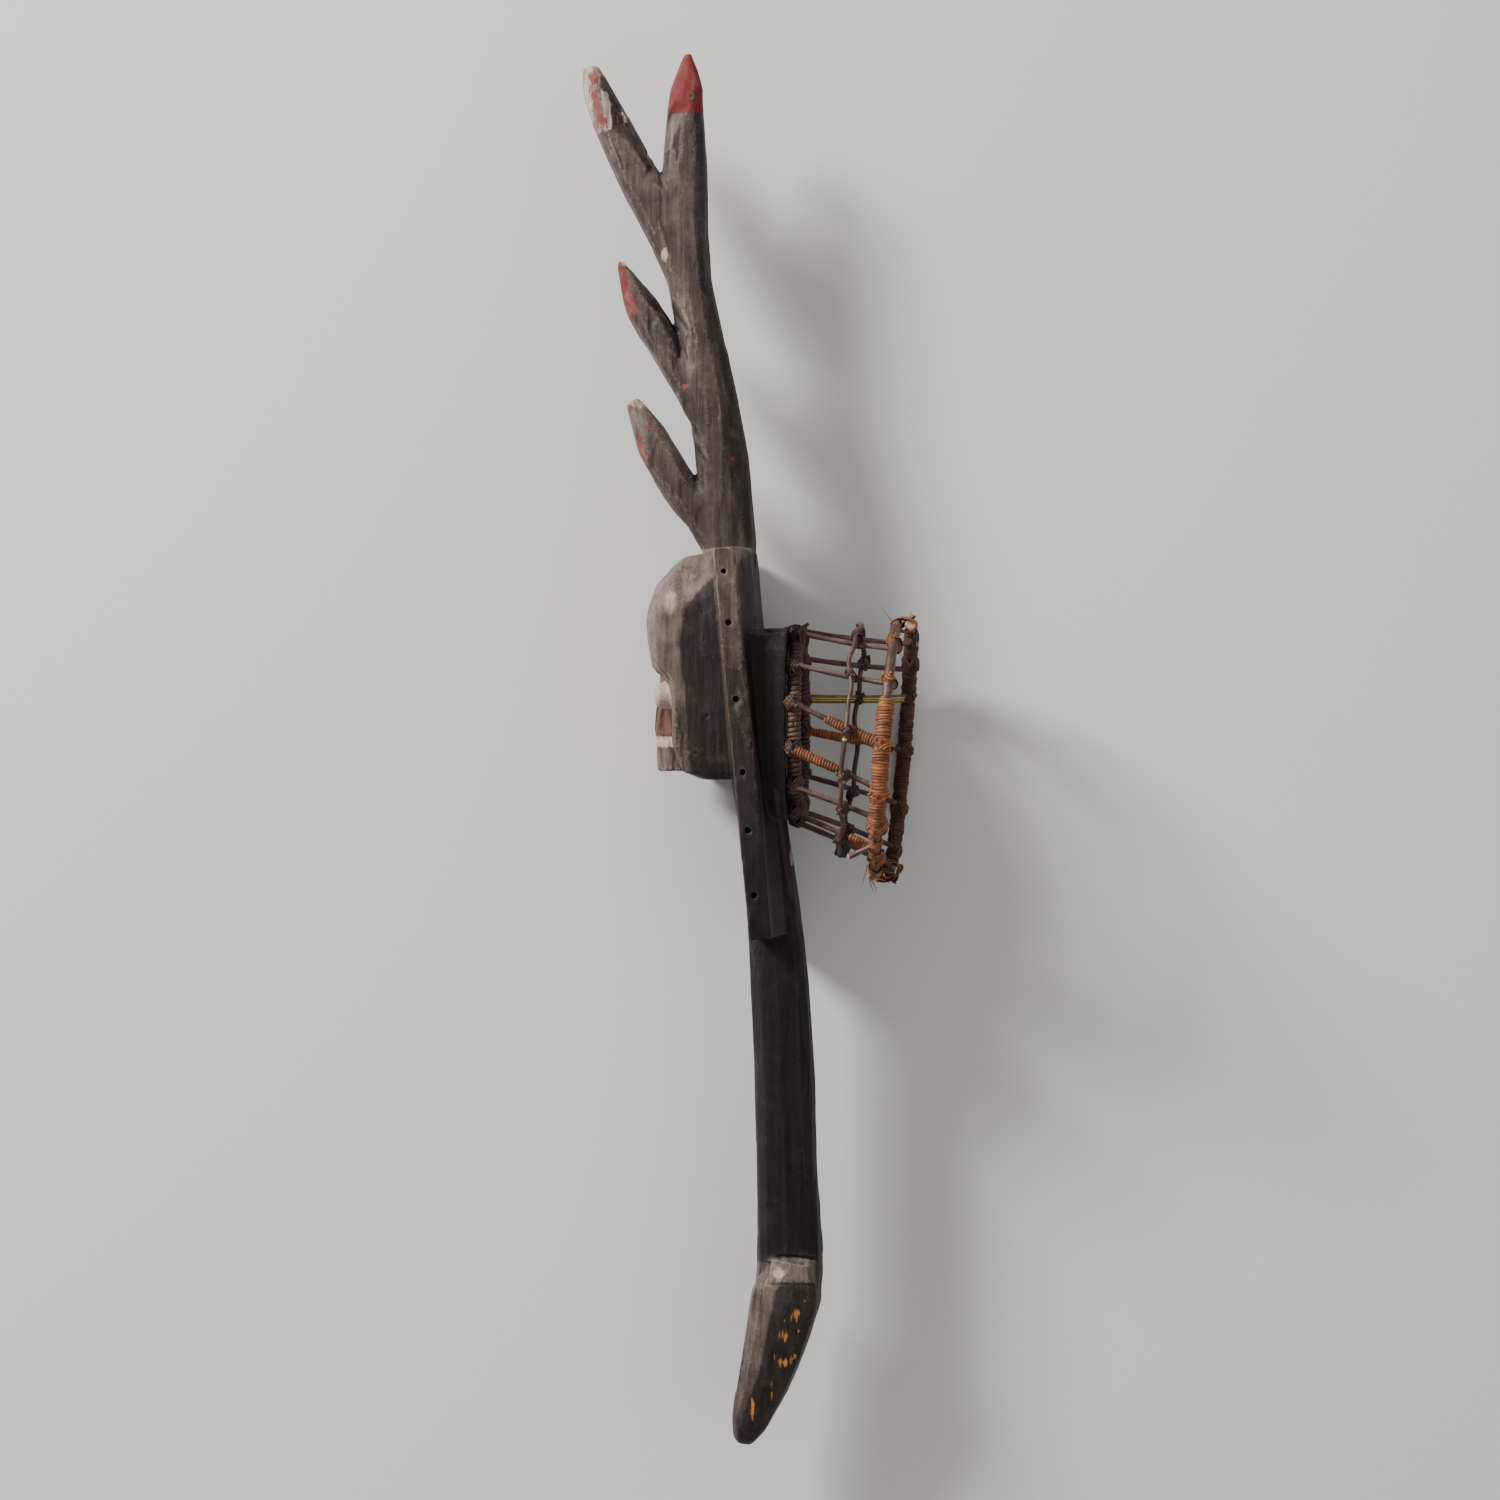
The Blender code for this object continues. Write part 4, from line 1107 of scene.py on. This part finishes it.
ties = {
    "turns": 4,
    "spread": 0.0004,
    # a strand is its half width and half thickness
    "innerStrand": (0.0013, 0.0007),
    "outerStrand": (0.0013, 0.0005),
    "rimStrand": (0.0014, 0.0005),
    # where both hoops are bound together: angle and turns; half sizes, width of a turn and strand
    "bindings": ((86.0, 6), (93.5, 6), (259.5, 6), (266.0, 4)),
    "binding": {"halves": (0.0060, 0.0112), "turn": 0.0022, "strand": (0.0014, 0.0007)},
    # coils round the near hoop: angle, way out, half size, length, turns, strand, seed
    "nearCoils": (
        (-70, (0, -1, 0.3), 0.0056, 0.012, 6, (0.0014, 0.0006), 322),
        (72, (0, 1, 0.3), 0.0051, 0.0016, 1, (0.0005, 0.0004), 323),
    ),
    "band": {"half": 0.0054, "length": 0.0085, "turns": 4, "strand": (0.0013, 0.0006)},
    "bandsAt": ((-46, "near"), (-54, "near"), (243, "far"), (250, "far"), (236, "far"), (108, "far")),
    # strands from an angle on the near hoop to one on the far hoop
    "zigzags": ((-78, 262), (-84, 256), (-92, 250), (84, 92)),
    "strayAngles": (2, -20, -37, -60, 34, 60, 112, 180, 209, -75, 95, -95),
    # the knot on the small ring: place from its top, direction, half sizes, length, turns, strand, seed
    "knot": (
        ((-0.003, 0.003, 0.010), (0.15, 0.1, 1.0), 0.0075, 0.0088, 0.013, 6, (0.0014, 0.0009), 401),
        ((-0.004, 0.005, 0.014), (1.0, 0.15, 0.0), 0.0052, 0.0060, 0.012, 5, (0.0013, 0.0008), 402),
        ((0.0, 0.0, -0.012), (0.0, 0.0, 1.0), 0.0066, 0.0066, 0.014, 6, (0.0013, 0.0008), 403),
    ),
    # stick ends: angle on the near hoop, or none for the small ring's top, and from there the place,
    # direction, length and radius
    "sticks": (
        (None, (0.002, 0.007, 0.014), (0.75, 0.55, 0.1), 0.020, 0.0016),
        (95.0, (0.008, 0.003, 0.002), (0.75, 0.6, 0.1), 0.019, 0.0019),
        (-56.0, (-0.012, 0.004, 0.004), (1.0, 0.45, 0.2), 0.024, 0.0026),
        (-72.0, (0.009, 0.000, 0.002), (1.0, -0.12, 0.1), 0.018, 0.0017),
    ),
}


def hoopRun(angle, side):
    return largeSpot(angle + 1, side) - largeSpot(angle - 1, side)


def tieRods(paths, cane, small, middle, near, far, baskets):
    # a lashing wherever a rib or the cane crosses a ring
    seed = 100
    for name, path in list(paths.items()) + [("cane", cane)]:
        seed += 7
        flat = name == "cane"
        radius = 0.0012 if flat else ribs["radius"]
        ringRadius = smallRing["winding"] + 0.0010
        lashing(baskets["inner"], small, path, ringRadius, radius, ties["innerStrand"], seed)
        lashing(baskets["outer"], path, middle, radius, middleRing["radius"], ties["outerStrand"], seed + 2)
        angle = 0.0 if flat else ribs["rows"][name][1]
        side, hoop = ("near", near) if not flat and abs(angle) < 80 else ("far", far)
        sizes = largeRing[side]
        angle = angle if side == "near" else angle % 360
        wound = sizes["wound"][0] < angle < sizes["wound"][1]
        hoopRadius = sizes["winding"] + 0.0006 if wound else sizes["bare"]
        lashing(baskets[side], path, hoop, radius, hoopRadius, ties["rimStrand"], seed + 4)
    return seed


def bindHoops(rim, farRim, seed):
    # both hoops are bound together where their ends pass each other, and banded elsewhere
    for angle, turns in ties["bindings"]:
        spot = (largeSpot(angle, "near") + largeSpot(angle, "far")) / 2
        out = (0.0, math.sin(math.radians(angle)), 0.0)
        size = ties["binding"]
        length, run = turns * size["turn"], hoopRun(angle, "near")
        addCoil(rim, spot, run, out, *size["halves"], length, turns, size["strand"], seed + int(angle))
    bottom = (largeSpot(262.0, "near") + largeSpot(262.0, "far")) / 2 + np.array([0.003, 0.003, 0.006])
    addCoil(rim, bottom, (0.3, 0.2, 1.0), (0.0, -1.0, 0.0), 0.0070, 0.0075, 0.010, 6, (0.0014, 0.0008), 311)
    for angle, out, half, length, turns, strand, coilSeed in ties["nearCoils"]:
        spot = largeSpot(angle, "near")
        addCoil(rim, spot, hoopRun(angle, "near"), out, half, half, length, turns, strand, coilSeed)
    half, length, turns, strand = ties["band"].values()
    for k, (angle, side) in enumerate(ties["bandsAt"]):
        spot = largeSpot(angle, side)
        out = spot - np.array([0.12, -0.004, 0.0])
        target = rim if side == "near" else farRim
        addCoil(target, spot, hoopRun(angle, side), out, half, half, length, turns, strand, 330 + k)
    for k, (a, b) in enumerate(ties["zigzags"]):
        start, end = largeSpot(a, "near", 0.0045), largeSpot(b, "far", 0.0045)
        length = float(np.linalg.norm(end - start))
        looseEnd(rim, start, end - start, (0.0, -0.10, 0.02), length, 0.0013, 350 + k)


def addStrays(rim):
    pick = np.random.RandomState(5)
    for k, angle in enumerate(ties["strayAngles"]):
        side = "near" if -101 < angle < 97 else "far"
        spot = largeSpot(angle, side, 0.004)
        away = spot - np.array([0.10, coneMiddle, 0.0])
        away = away / np.linalg.norm(away) + pick.uniform(-0.7, 0.7, 3)
        if abs(spot[2]) > 0.03:
            away[2] = -0.3 * math.copysign(abs(away[2]), spot[2])
        bend = pick.uniform(-0.5, 0.5, 3)
        looseEnd(rim, spot - np.array([0.006, 0, 0]), away, bend, pick.uniform(0.007, 0.015), 0.0008, 360 + k)


def makeLashings(paths, cane, small, middle, near, far):
    print("tying the lashings")
    baskets = {name: newBasket() for name in ("inner", "outer", "near", "far", "knot", "sticks")}
    seed = tieRods(paths, cane, small, middle, near, far, baskets)
    bindHoops(baskets["near"], baskets["far"], seed)
    addStrays(baskets["near"])
    top = smallSpot(90.0)
    for offset, axis, halfOut, halfSide, length, turns, strand, coilSeed in ties["knot"]:
        centre = top + np.array(offset)
        addCoil(baskets["knot"], centre, axis, (0, 1, 0), halfOut, halfSide, length, turns, strand, coilSeed)
    for k, (angle, offset, direction, length, radius) in enumerate(ties["sticks"]):
        spot = (top if angle is None else largeSpot(angle, "near")) + np.array(offset)
        stick(baskets["sticks"], spot, direction, length, radius, 410 + k)
    for basket, name, finish, slotName, sharp in (
        ("inner", "small_ring_lashings", "split_rattan", "rattan", None),
        ("outer", "middle_ring_lashings", "split_rattan", "rattan", None),
        ("near", "large_ring_lashings", "raffia", "raffia", None),
        # the far lashings, darkened as painted shade
        ("far", "far_hoop_lashings", "raffia_painted_shade", "raffia", None),
        ("knot", "small_ring_knot", "split_rattan", "rattan", None),
        ("sticks", "stick_ends", "rattan_rod", "rattan", 50),
    ):
        finishPiece(name, baskets[basket], finishes[finish], (), sharp)


# Materials

class nodeBench:
    # a node tree with short ways to add to it
    def __init__(self, tree):
        self.tree = tree

    def feed(self, socket, value):
        if isinstance(value, bpy.types.NodeSocket):
            self.tree.links.new(value, socket)
        elif socket.type == "RGBA":
            socket.default_value = (*value, 1.0)
        else:
            socket.default_value = value

    def add(self, kind, **inputs):
        made = self.tree.nodes.new(kind)
        for name, value in inputs.items():
            self.feed(made.inputs[name], value)
        return made

    def sums(self, kind, first, second=0.5, clamp=False):
        made = self.add("ShaderNodeMath")
        made.operation = kind
        made.use_clamp = clamp
        self.feed(made.inputs[0], first)
        self.feed(made.inputs[1], second)
        return made.outputs[0]

    def times(self, first, second, clamp=False):
        return self.sums("MULTIPLY", first, second, clamp)

    def plus(self, first, second, clamp=False):
        return self.sums("ADD", first, second, clamp)

    def stepUp(self, value, low, high):
        made = self.add("ShaderNodeMapRange", Value=value)
        made.interpolation_type = "SMOOTHSTEP"
        self.feed(made.inputs["From Min"], low)
        self.feed(made.inputs["From Max"], high)
        return made.outputs["Result"]

    def blend(self, share, under, over, kind="MIX"):
        made = self.add("ShaderNodeMix")
        made.data_type = "RGBA"
        made.blend_type = kind
        for place, value in ((0, share), (6, under), (7, over)):
            self.feed(made.inputs[place], value)
        return made.outputs[2]

    def noise(self, vector, scale, detail=2.0, rough=0.5):
        made = self.add("ShaderNodeTexNoise", Vector=vector, Scale=scale, Detail=detail, Roughness=rough)
        return made.outputs["Fac"]

    def vectorSum(self, kind, vector, name, value):
        made = self.add("ShaderNodeVectorMath")
        made.operation = kind
        self.feed(made.inputs[0], vector)
        self.feed(made.inputs[name], value)
        return made.outputs[0]

    def stretched(self, vector, across, along, depth):
        return self.vectorSum("MULTIPLY", vector, 1, (across, along, depth))

    def attribute(self, name, output="Fac"):
        made = self.add("ShaderNodeAttribute")
        made.attribute_name = name
        return made.outputs[output]

    def group(self, name, **inputs):
        made = self.add("ShaderNodeGroup")
        made.node_tree = groups[name]
        for label, value in inputs.items():
            self.feed(made.inputs[label.replace("_", " ")], value)
        return made.outputs

    def finish(self, shader, colour, rough, height, strength, depth):
        bump = self.add("ShaderNodeBump", Strength=strength, Distance=depth, Height=height)
        for name, value in (("Base Color", colour), ("Roughness", rough), ("Normal", bump.outputs["Normal"])):
            self.feed(shader.inputs[name], value)


def newGroup(name, inputs, outputs):
    group = bpy.data.node_groups.new(name, "ShaderNodeTree")
    group.interface.new_socket("Vector", in_out="INPUT", socket_type="NodeSocketVector")
    for label, value in inputs.items():
        socket = group.interface.new_socket(label, in_out="INPUT", socket_type="NodeSocketFloat")
        socket.default_value = value
    for label in outputs:
        group.interface.new_socket(label, in_out="OUTPUT", socket_type="NodeSocketFloat")
    bench = nodeBench(group)
    return bench, bench.add("NodeGroupInput").outputs, bench.add("NodeGroupOutput").inputs


def grainGroup():
    # fine fibres and broader streaks, already stretched by the vector that comes in
    inputs = {"Fibre Scale": 1.0, "Streak Scale": 0.3}
    bench, source, result = newGroup("grain", inputs, ("Fibre", "Streak", "Height"))
    vector = source["Vector"]
    fibre = bench.noise(vector, source["Fibre Scale"], 3.0, 0.65)
    streak = bench.add("ShaderNodeTexNoise", Vector=vector, Scale=source["Streak Scale"], Distortion=0.4)
    streak = streak.outputs["Fac"]
    bench.feed(result["Fibre"], fibre)
    bench.feed(result["Streak"], streak)
    bench.feed(result["Height"], bench.plus(bench.times(fibre, 0.7), bench.times(streak, 0.5)))
    return bench.tree


def coverGroup():
    # a mask that is broken up along its border: field above 0 is covered, below 0 is not
    inputs = {"Field": 0.0, "Scale": 300.0, "Ragged": 0.6, "Soft": 0.08}
    bench, source, result = newGroup("patchyCover", inputs, ("Mask",))
    centred = bench.sums("SUBTRACT", bench.noise(source["Vector"], source["Scale"], 4.0, 0.7), 0.5)
    spread = bench.times(centred, bench.times(source["Ragged"], 4.0))
    total = bench.plus(source["Field"], spread)
    bench.feed(result["Mask"], bench.stepUp(total, bench.times(source["Soft"], -1.0), source["Soft"]))
    return bench.tree


def dustGroup():
    # pale dust and dark grime in soft patches
    bench, source, result = newGroup("dust", {"Scale": 25.0, "Amount": 0.3}, ("Dust", "Grime"))
    noise = bench.noise(source["Vector"], source["Scale"], 5.0, 0.6)
    for label, far in (("Dust", 0.72), ("Grime", 0.30)):
        bench.feed(result[label], bench.times(bench.stepUp(noise, 0.50, far), source["Amount"]))
    return bench.tree


groups = {"grain": grainGroup(), "cover": coverGroup(), "dust": dustGroup()}


def startMaterial(name):
    made = bpy.data.materials.new(name)
    made.use_nodes = True
    return made, nodeBench(made.node_tree), made.node_tree.nodes["Principled BSDF"]


def uprightVector(bench):
    # Object coordinates turned back to the upright carving
    place = bench.add("ShaderNodeTexCoord").outputs["Object"]
    made = bench.add("ShaderNodeMapping", Vector=place, Location=lying["shift"])
    made.vector_type = "TEXTURE"
    made.inputs["Rotation"].default_value = Matrix(lying["turn"]).to_euler("XYZ")
    return made.outputs["Vector"]


woodLook = {
    "dark": (0.042, 0.0305, 0.0260),
    "mid": (0.091, 0.069, 0.060),
    "mottle": (1.35, 1.31, 1.26),
    "scuff": (0.235, 0.185, 0.150),
    # dark grime, also laid in hollows as painted shade
    "grimeAndHollowShade": (0.010, 0.008, 0.007),
    "bare": (0.52, 0.435, 0.365),
    "bareDark": (0.27, 0.195, 0.155),
    "red": (0.185, 0.020, 0.019),
    "redFaded": (0.27, 0.105, 0.092),
    "white": (0.52, 0.45, 0.39),
    "whiteWorn": (0.36, 0.235, 0.19),
    "nose": (0.165, 0.072, 0.047),
    "noseDark": (0.035, 0.014, 0.010),
    "orange": (0.50, 0.19, 0.050),
    "brown": (0.150, 0.085, 0.050),
    # each cover's field, its stretch along the grain, and its border's scale, raggedness and softness
    "covers": {
        "brown": (1.0, 330.0, 0.55, 0.5),
        "edge": (1.0, 420.0, 0.42, 0.35),
        "bare": (0.35, 330.0, 0.5, 0.16),
        "redWorn": (0.5, 240.0, 0.95, 0.22),
        "redHard": (1.0, 600.0, 0.05, 0.03),
        "nose": (1.0, 380.0, 0.45, 0.3),
        "white": (0.6, 360.0, 0.55, 0.2),
        "orange": (0.15, 900.0, 0.55, 0.35),
    },
    "edgeFrom": 0.42,
    "specular": 0.20,
}


def carvedWoodMaterial():
    made, bench, shader = startMaterial("carved_wood")
    spot = uprightVector(bench)
    look = woodLook
    times, stepUp, blend = bench.times, bench.stepUp, bench.blend
    along = bench.stretched(spot, 1.0, 0.045, 1.0)
    grain = bench.group("grain", Vector=along, Fibre_Scale=1100.0, Streak_Scale=190.0)
    dust = bench.group("dust", Vector=spot, Scale=38.0, Amount=1.0)
    fibre, streak = grain["Fibre"], grain["Streak"]
    mottle = bench.noise(bench.stretched(spot, 1.0, 0.5, 1.0), 95.0, 4.0, 0.65)
    # the tone carries painted light and shade as well as the wood's own lightness
    toneAndPaintedLight = bench.attribute("toneAndPaintedLight")
    fields = {name: bench.attribute(name) for name in look["covers"]}
    fields["edge"] = bench.sums("SUBTRACT", fields["edge"], look["edgeFrom"])
    masks = {}
    for name, (stretch, scale, ragged, soft) in look["covers"].items():
        vector = bench.stretched(spot, 1.0, stretch, 1.0)
        cover = bench.group("cover", Field=fields[name], Vector=vector, Scale=scale, Ragged=ragged, Soft=soft)
        masks[name] = cover["Mask"]

    # bare wood, from dark to light with the grain and from place to place, scaled by a tone that also carries
    # painted light and shade
    share = bench.plus(times(streak, 0.55), times(fibre, 0.45))
    colour = blend(stepUp(share, 0.36, 0.64), look["dark"], look["mid"])
    colour = blend(stepUp(mottle, 0.35, 0.75), colour, blend(1.0, colour, look["mottle"], "MULTIPLY"))
    colour = bench.vectorSum("SCALE", colour, "Scale", toneAndPaintedLight)
    scratches = bench.noise(bench.stretched(spot, 1.0, 0.02, 1.0), 1700.0, 1.0, 0.5)
    redTone = blend(0.5, look["red"], look["redFaded"])
    redHoles = stepUp(bench.noise(spot, 420.0, 4.0, 0.7), 0.66, 0.61)
    redMask = times(masks["redHard"], redHoles)
    layers = (
        # how much of each layer, and its colour: painted shade in hollows, dirt, wear, then paint
        # painted shade in hollows
        (times(stepUp(bench.attribute("proud"), 0.0, -0.75), 0.8), look["grimeAndHollowShade"]),
        (times(dust["Grime"], 0.45), look["grimeAndHollowShade"]),
        (times(dust["Dust"], times(toneAndPaintedLight, 0.30, True)), look["scuff"]),
        (times(masks["brown"], 0.28), look["brown"]),
        (times(masks["edge"], times(toneAndPaintedLight, 0.62, True)), look["scuff"]),
        (times(stepUp(scratches, 0.66, 0.74), times(toneAndPaintedLight, 0.35)), look["scuff"]),
        (masks["bare"], blend(stepUp(streak, 0.35, 0.65), look["bareDark"], look["bare"])),
        (times(masks["redWorn"], 0.85), blend(stepUp(mottle, 0.35, 0.7), look["red"], look["redFaded"])),
        (redMask, blend(stepUp(mottle, 0.30, 0.75), look["red"], redTone)),
        (times(masks["nose"], 0.85), blend(stepUp(streak, 0.36, 0.60), look["noseDark"], look["nose"])),
        (masks["white"], blend(stepUp(fibre, 0.35, 0.7), look["whiteWorn"], look["white"])),
        (masks["orange"], look["orange"]),
    )
    for amount, over in layers:
        colour = blend(amount, colour, over)

    painted = bench.sums("MAXIMUM", redMask, bench.sums("MAXIMUM", masks["bare"], masks["redWorn"]))
    rough = bench.plus(bench.plus(0.40, times(fibre, 0.22)), times(painted, 0.22), True)
    height = bench.plus(bench.plus(grain["Height"], times(mottle, 0.5)), times(redMask, 0.35))
    bench.finish(shader, colour, rough, height, 0.60, 0.0007)
    shader.inputs["Specular IOR Level"].default_value = look["specular"]
    return made


fibreGrime = (0.018, 0.010, 0.007)
fibreLooks = {
    # colours, roughness, scale of fibres and streaks, depth of the grain, and how far single turns differ
    "rattan_rod": {
        "dark": (0.030, 0.012, 0.008), "mid": (0.115, 0.052, 0.038), "pale": (0.38, 0.23, 0.175),
        "cut": (0.60, 0.43, 0.29), "rough": 0.42, "grain": (1500.0, 260.0, 0.0004), "turns": 0.0,
    },
    "raffia": {
        "dark": (0.100, 0.026, 0.008), "mid": (0.37, 0.112, 0.030), "pale": (0.72, 0.34, 0.115),
        "cut": (0.70, 0.48, 0.28), "rough": 0.55, "grain": (2600.0, 420.0, 0.0004), "turns": 0.6,
    },
    # the far windings: the same raffia darkened as painted shade
    "raffia_painted_shade": {
        "dark": (0.030, 0.011, 0.006), "mid": (0.115, 0.045, 0.020), "pale": (0.26, 0.115, 0.055),
        "cut": (0.50, 0.32, 0.18), "rough": 0.58, "grain": (2600.0, 420.0, 0.0004), "turns": 0.6,
    },
    "split_rattan": {
        "dark": (0.026, 0.011, 0.008), "mid": (0.105, 0.050, 0.036), "pale": (0.30, 0.175, 0.130),
        "cut": (0.55, 0.38, 0.25), "rough": 0.50, "grain": (2200.0, 380.0, 0.0004), "turns": 0.5,
    },
    "split_cane": {
        "dark": (0.070, 0.050, 0.014), "mid": (0.20, 0.150, 0.040), "pale": (0.72, 0.60, 0.24),
        "cut": (0.50, 0.40, 0.20), "rough": 0.28, "grain": (900.0, 200.0, 0.0002), "turns": 0.0,
        # painted highlights, pale lines along the cane: place across it and half width
        "highlightLines": ((0.0012, 0.0006), (-0.0010, 0.0005)),
    },
}


def fibreMaterial(name, look):
    # rods and strands: the grain runs along each one
    made, bench, shader = startMaterial(name)
    times, stepUp, blend = bench.times, bench.stepUp, bench.blend
    dark, pale = look["dark"], look["pale"]
    fibreScale, streakScale, depth = look["grain"]
    strand = bench.attribute("strand", "Vector")
    spot = bench.add("ShaderNodeTexCoord").outputs["Object"]
    along = bench.stretched(strand, 0.05, 1.0, 1.0)
    grain = bench.group("grain", Vector=along, Fibre_Scale=fibreScale, Streak_Scale=streakScale)
    dust = bench.group("dust", Vector=spot, Scale=130.0, Amount=1.0)
    colour = blend(stepUp(grain["Streak"], 0.30, 0.62), dark, look["mid"])
    colour = blend(stepUp(grain["Fibre"], 0.50, 0.78), colour, pale)
    if look["turns"]:
        turns = bench.noise(bench.stretched(strand, 1.0, 0.0, 0.0), 30.0, 1.0, 0.5)
        colour = blend(times(stepUp(turns, 0.55, 0.35), look["turns"]), colour, dark)
    colour = blend(times(stepUp(bench.noise(spot, 45.0, 3.0, 0.6), 0.62, 0.38), 0.55), colour, dark)
    colour = blend(times(dust["Grime"], 0.5), colour, fibreGrime)
    colour = blend(times(dust["Dust"], 0.25), colour, pale)
    # painted highlights along the cane
    if "highlightLines" in look:
        across = bench.add("ShaderNodeSeparateXYZ", Vector=strand).outputs["Z"]
        for place, halfWide in look["highlightLines"]:
            gap = bench.sums("ABSOLUTE", bench.sums("SUBTRACT", across, place))
            colour = blend(stepUp(gap, halfWide, halfWide * 0.4), colour, pale)
    colour = blend(stepUp(bench.attribute("cut"), 0.55, 0.95), colour, look["cut"])
    rough = bench.plus(look["rough"], times(grain["Fibre"], 0.2), True)
    bench.finish(shader, colour, rough, grain["Height"], 0.5, depth)
    return made


print("mixing the materials")
woodMaterial = carvedWoodMaterial()
finishes = {name: fibreMaterial(name, look) for name, look in fibreLooks.items()}

makeBody(woodMaterial)
print("making the cap frame")
nearPath = makeHoop("near", finishes["raffia"])
# the far hoop's winding, darkened as painted shade
farPath = makeHoop("far", finishes["raffia_painted_shade"])
smallRingPath = makeSmallRing()
middleRingPath = makeMiddleRing()
ribPaths = makeRibs()
canePath = makeCane()
makeLashings(ribPaths, canePath, smallRingPath, middleRingPath, nearPath, farPath)


# Floor, light and camera

def floorMaterial():
    made, bench, shader = startMaterial("pale_floor")
    spot = bench.add("ShaderNodeTexCoord").outputs["Object"]
    pale = studio["floorColour"]
    colour = bench.blend(bench.noise(spot, 3.0, 3.0, 0.5), tuple(v * 0.985 for v in pale), pale)
    bench.feed(shader.inputs["Base Color"], colour)
    shader.inputs["Roughness"].default_value = 0.9
    return made


def makeStudio():
    bm = bmesh.new()
    bmesh.ops.create_grid(bm, x_segments=1, y_segments=1, size=studio["floor"])
    floor = asObject("floor", bm)
    floor.data.materials.append(floorMaterial())
    for name, spot, aim, size, power in studio["lamps"]:
        lamp = bpy.data.lights.new(name, "AREA")
        lamp.size = size
        lamp.energy = power
        placed = bpy.data.objects.new(name, lamp)
        bpy.context.scene.collection.objects.link(placed)
        placed.location = spot
        placed.rotation_euler = (Vector(aim) - Vector(spot)).to_track_quat("-Z", "Y").to_euler()
    world = bpy.data.worlds.new("studio")
    world.use_nodes = True
    world.node_tree.nodes["Background"].inputs["Color"].default_value = (1.0, 0.99, 0.97, 1.0)
    world.node_tree.nodes["Background"].inputs["Strength"].default_value = studio["sky"]
    bpy.context.scene.world = world
    lens = bpy.data.cameras.new("camera")
    lens.lens = studio["lens"]
    lens.sensor_width = studio["sensor"]
    lens.clip_end = 30.0
    eye = bpy.data.objects.new("camera", lens)
    bpy.context.scene.collection.objects.link(eye)
    axes = Matrix((studio["right"], studio["up"], studio["back"])).transposed()
    eye.matrix_world = Matrix.Translation(studio["camera"]) @ axes.to_4x4()
    bpy.context.scene.camera = eye


print("setting up the studio")
makeStudio()
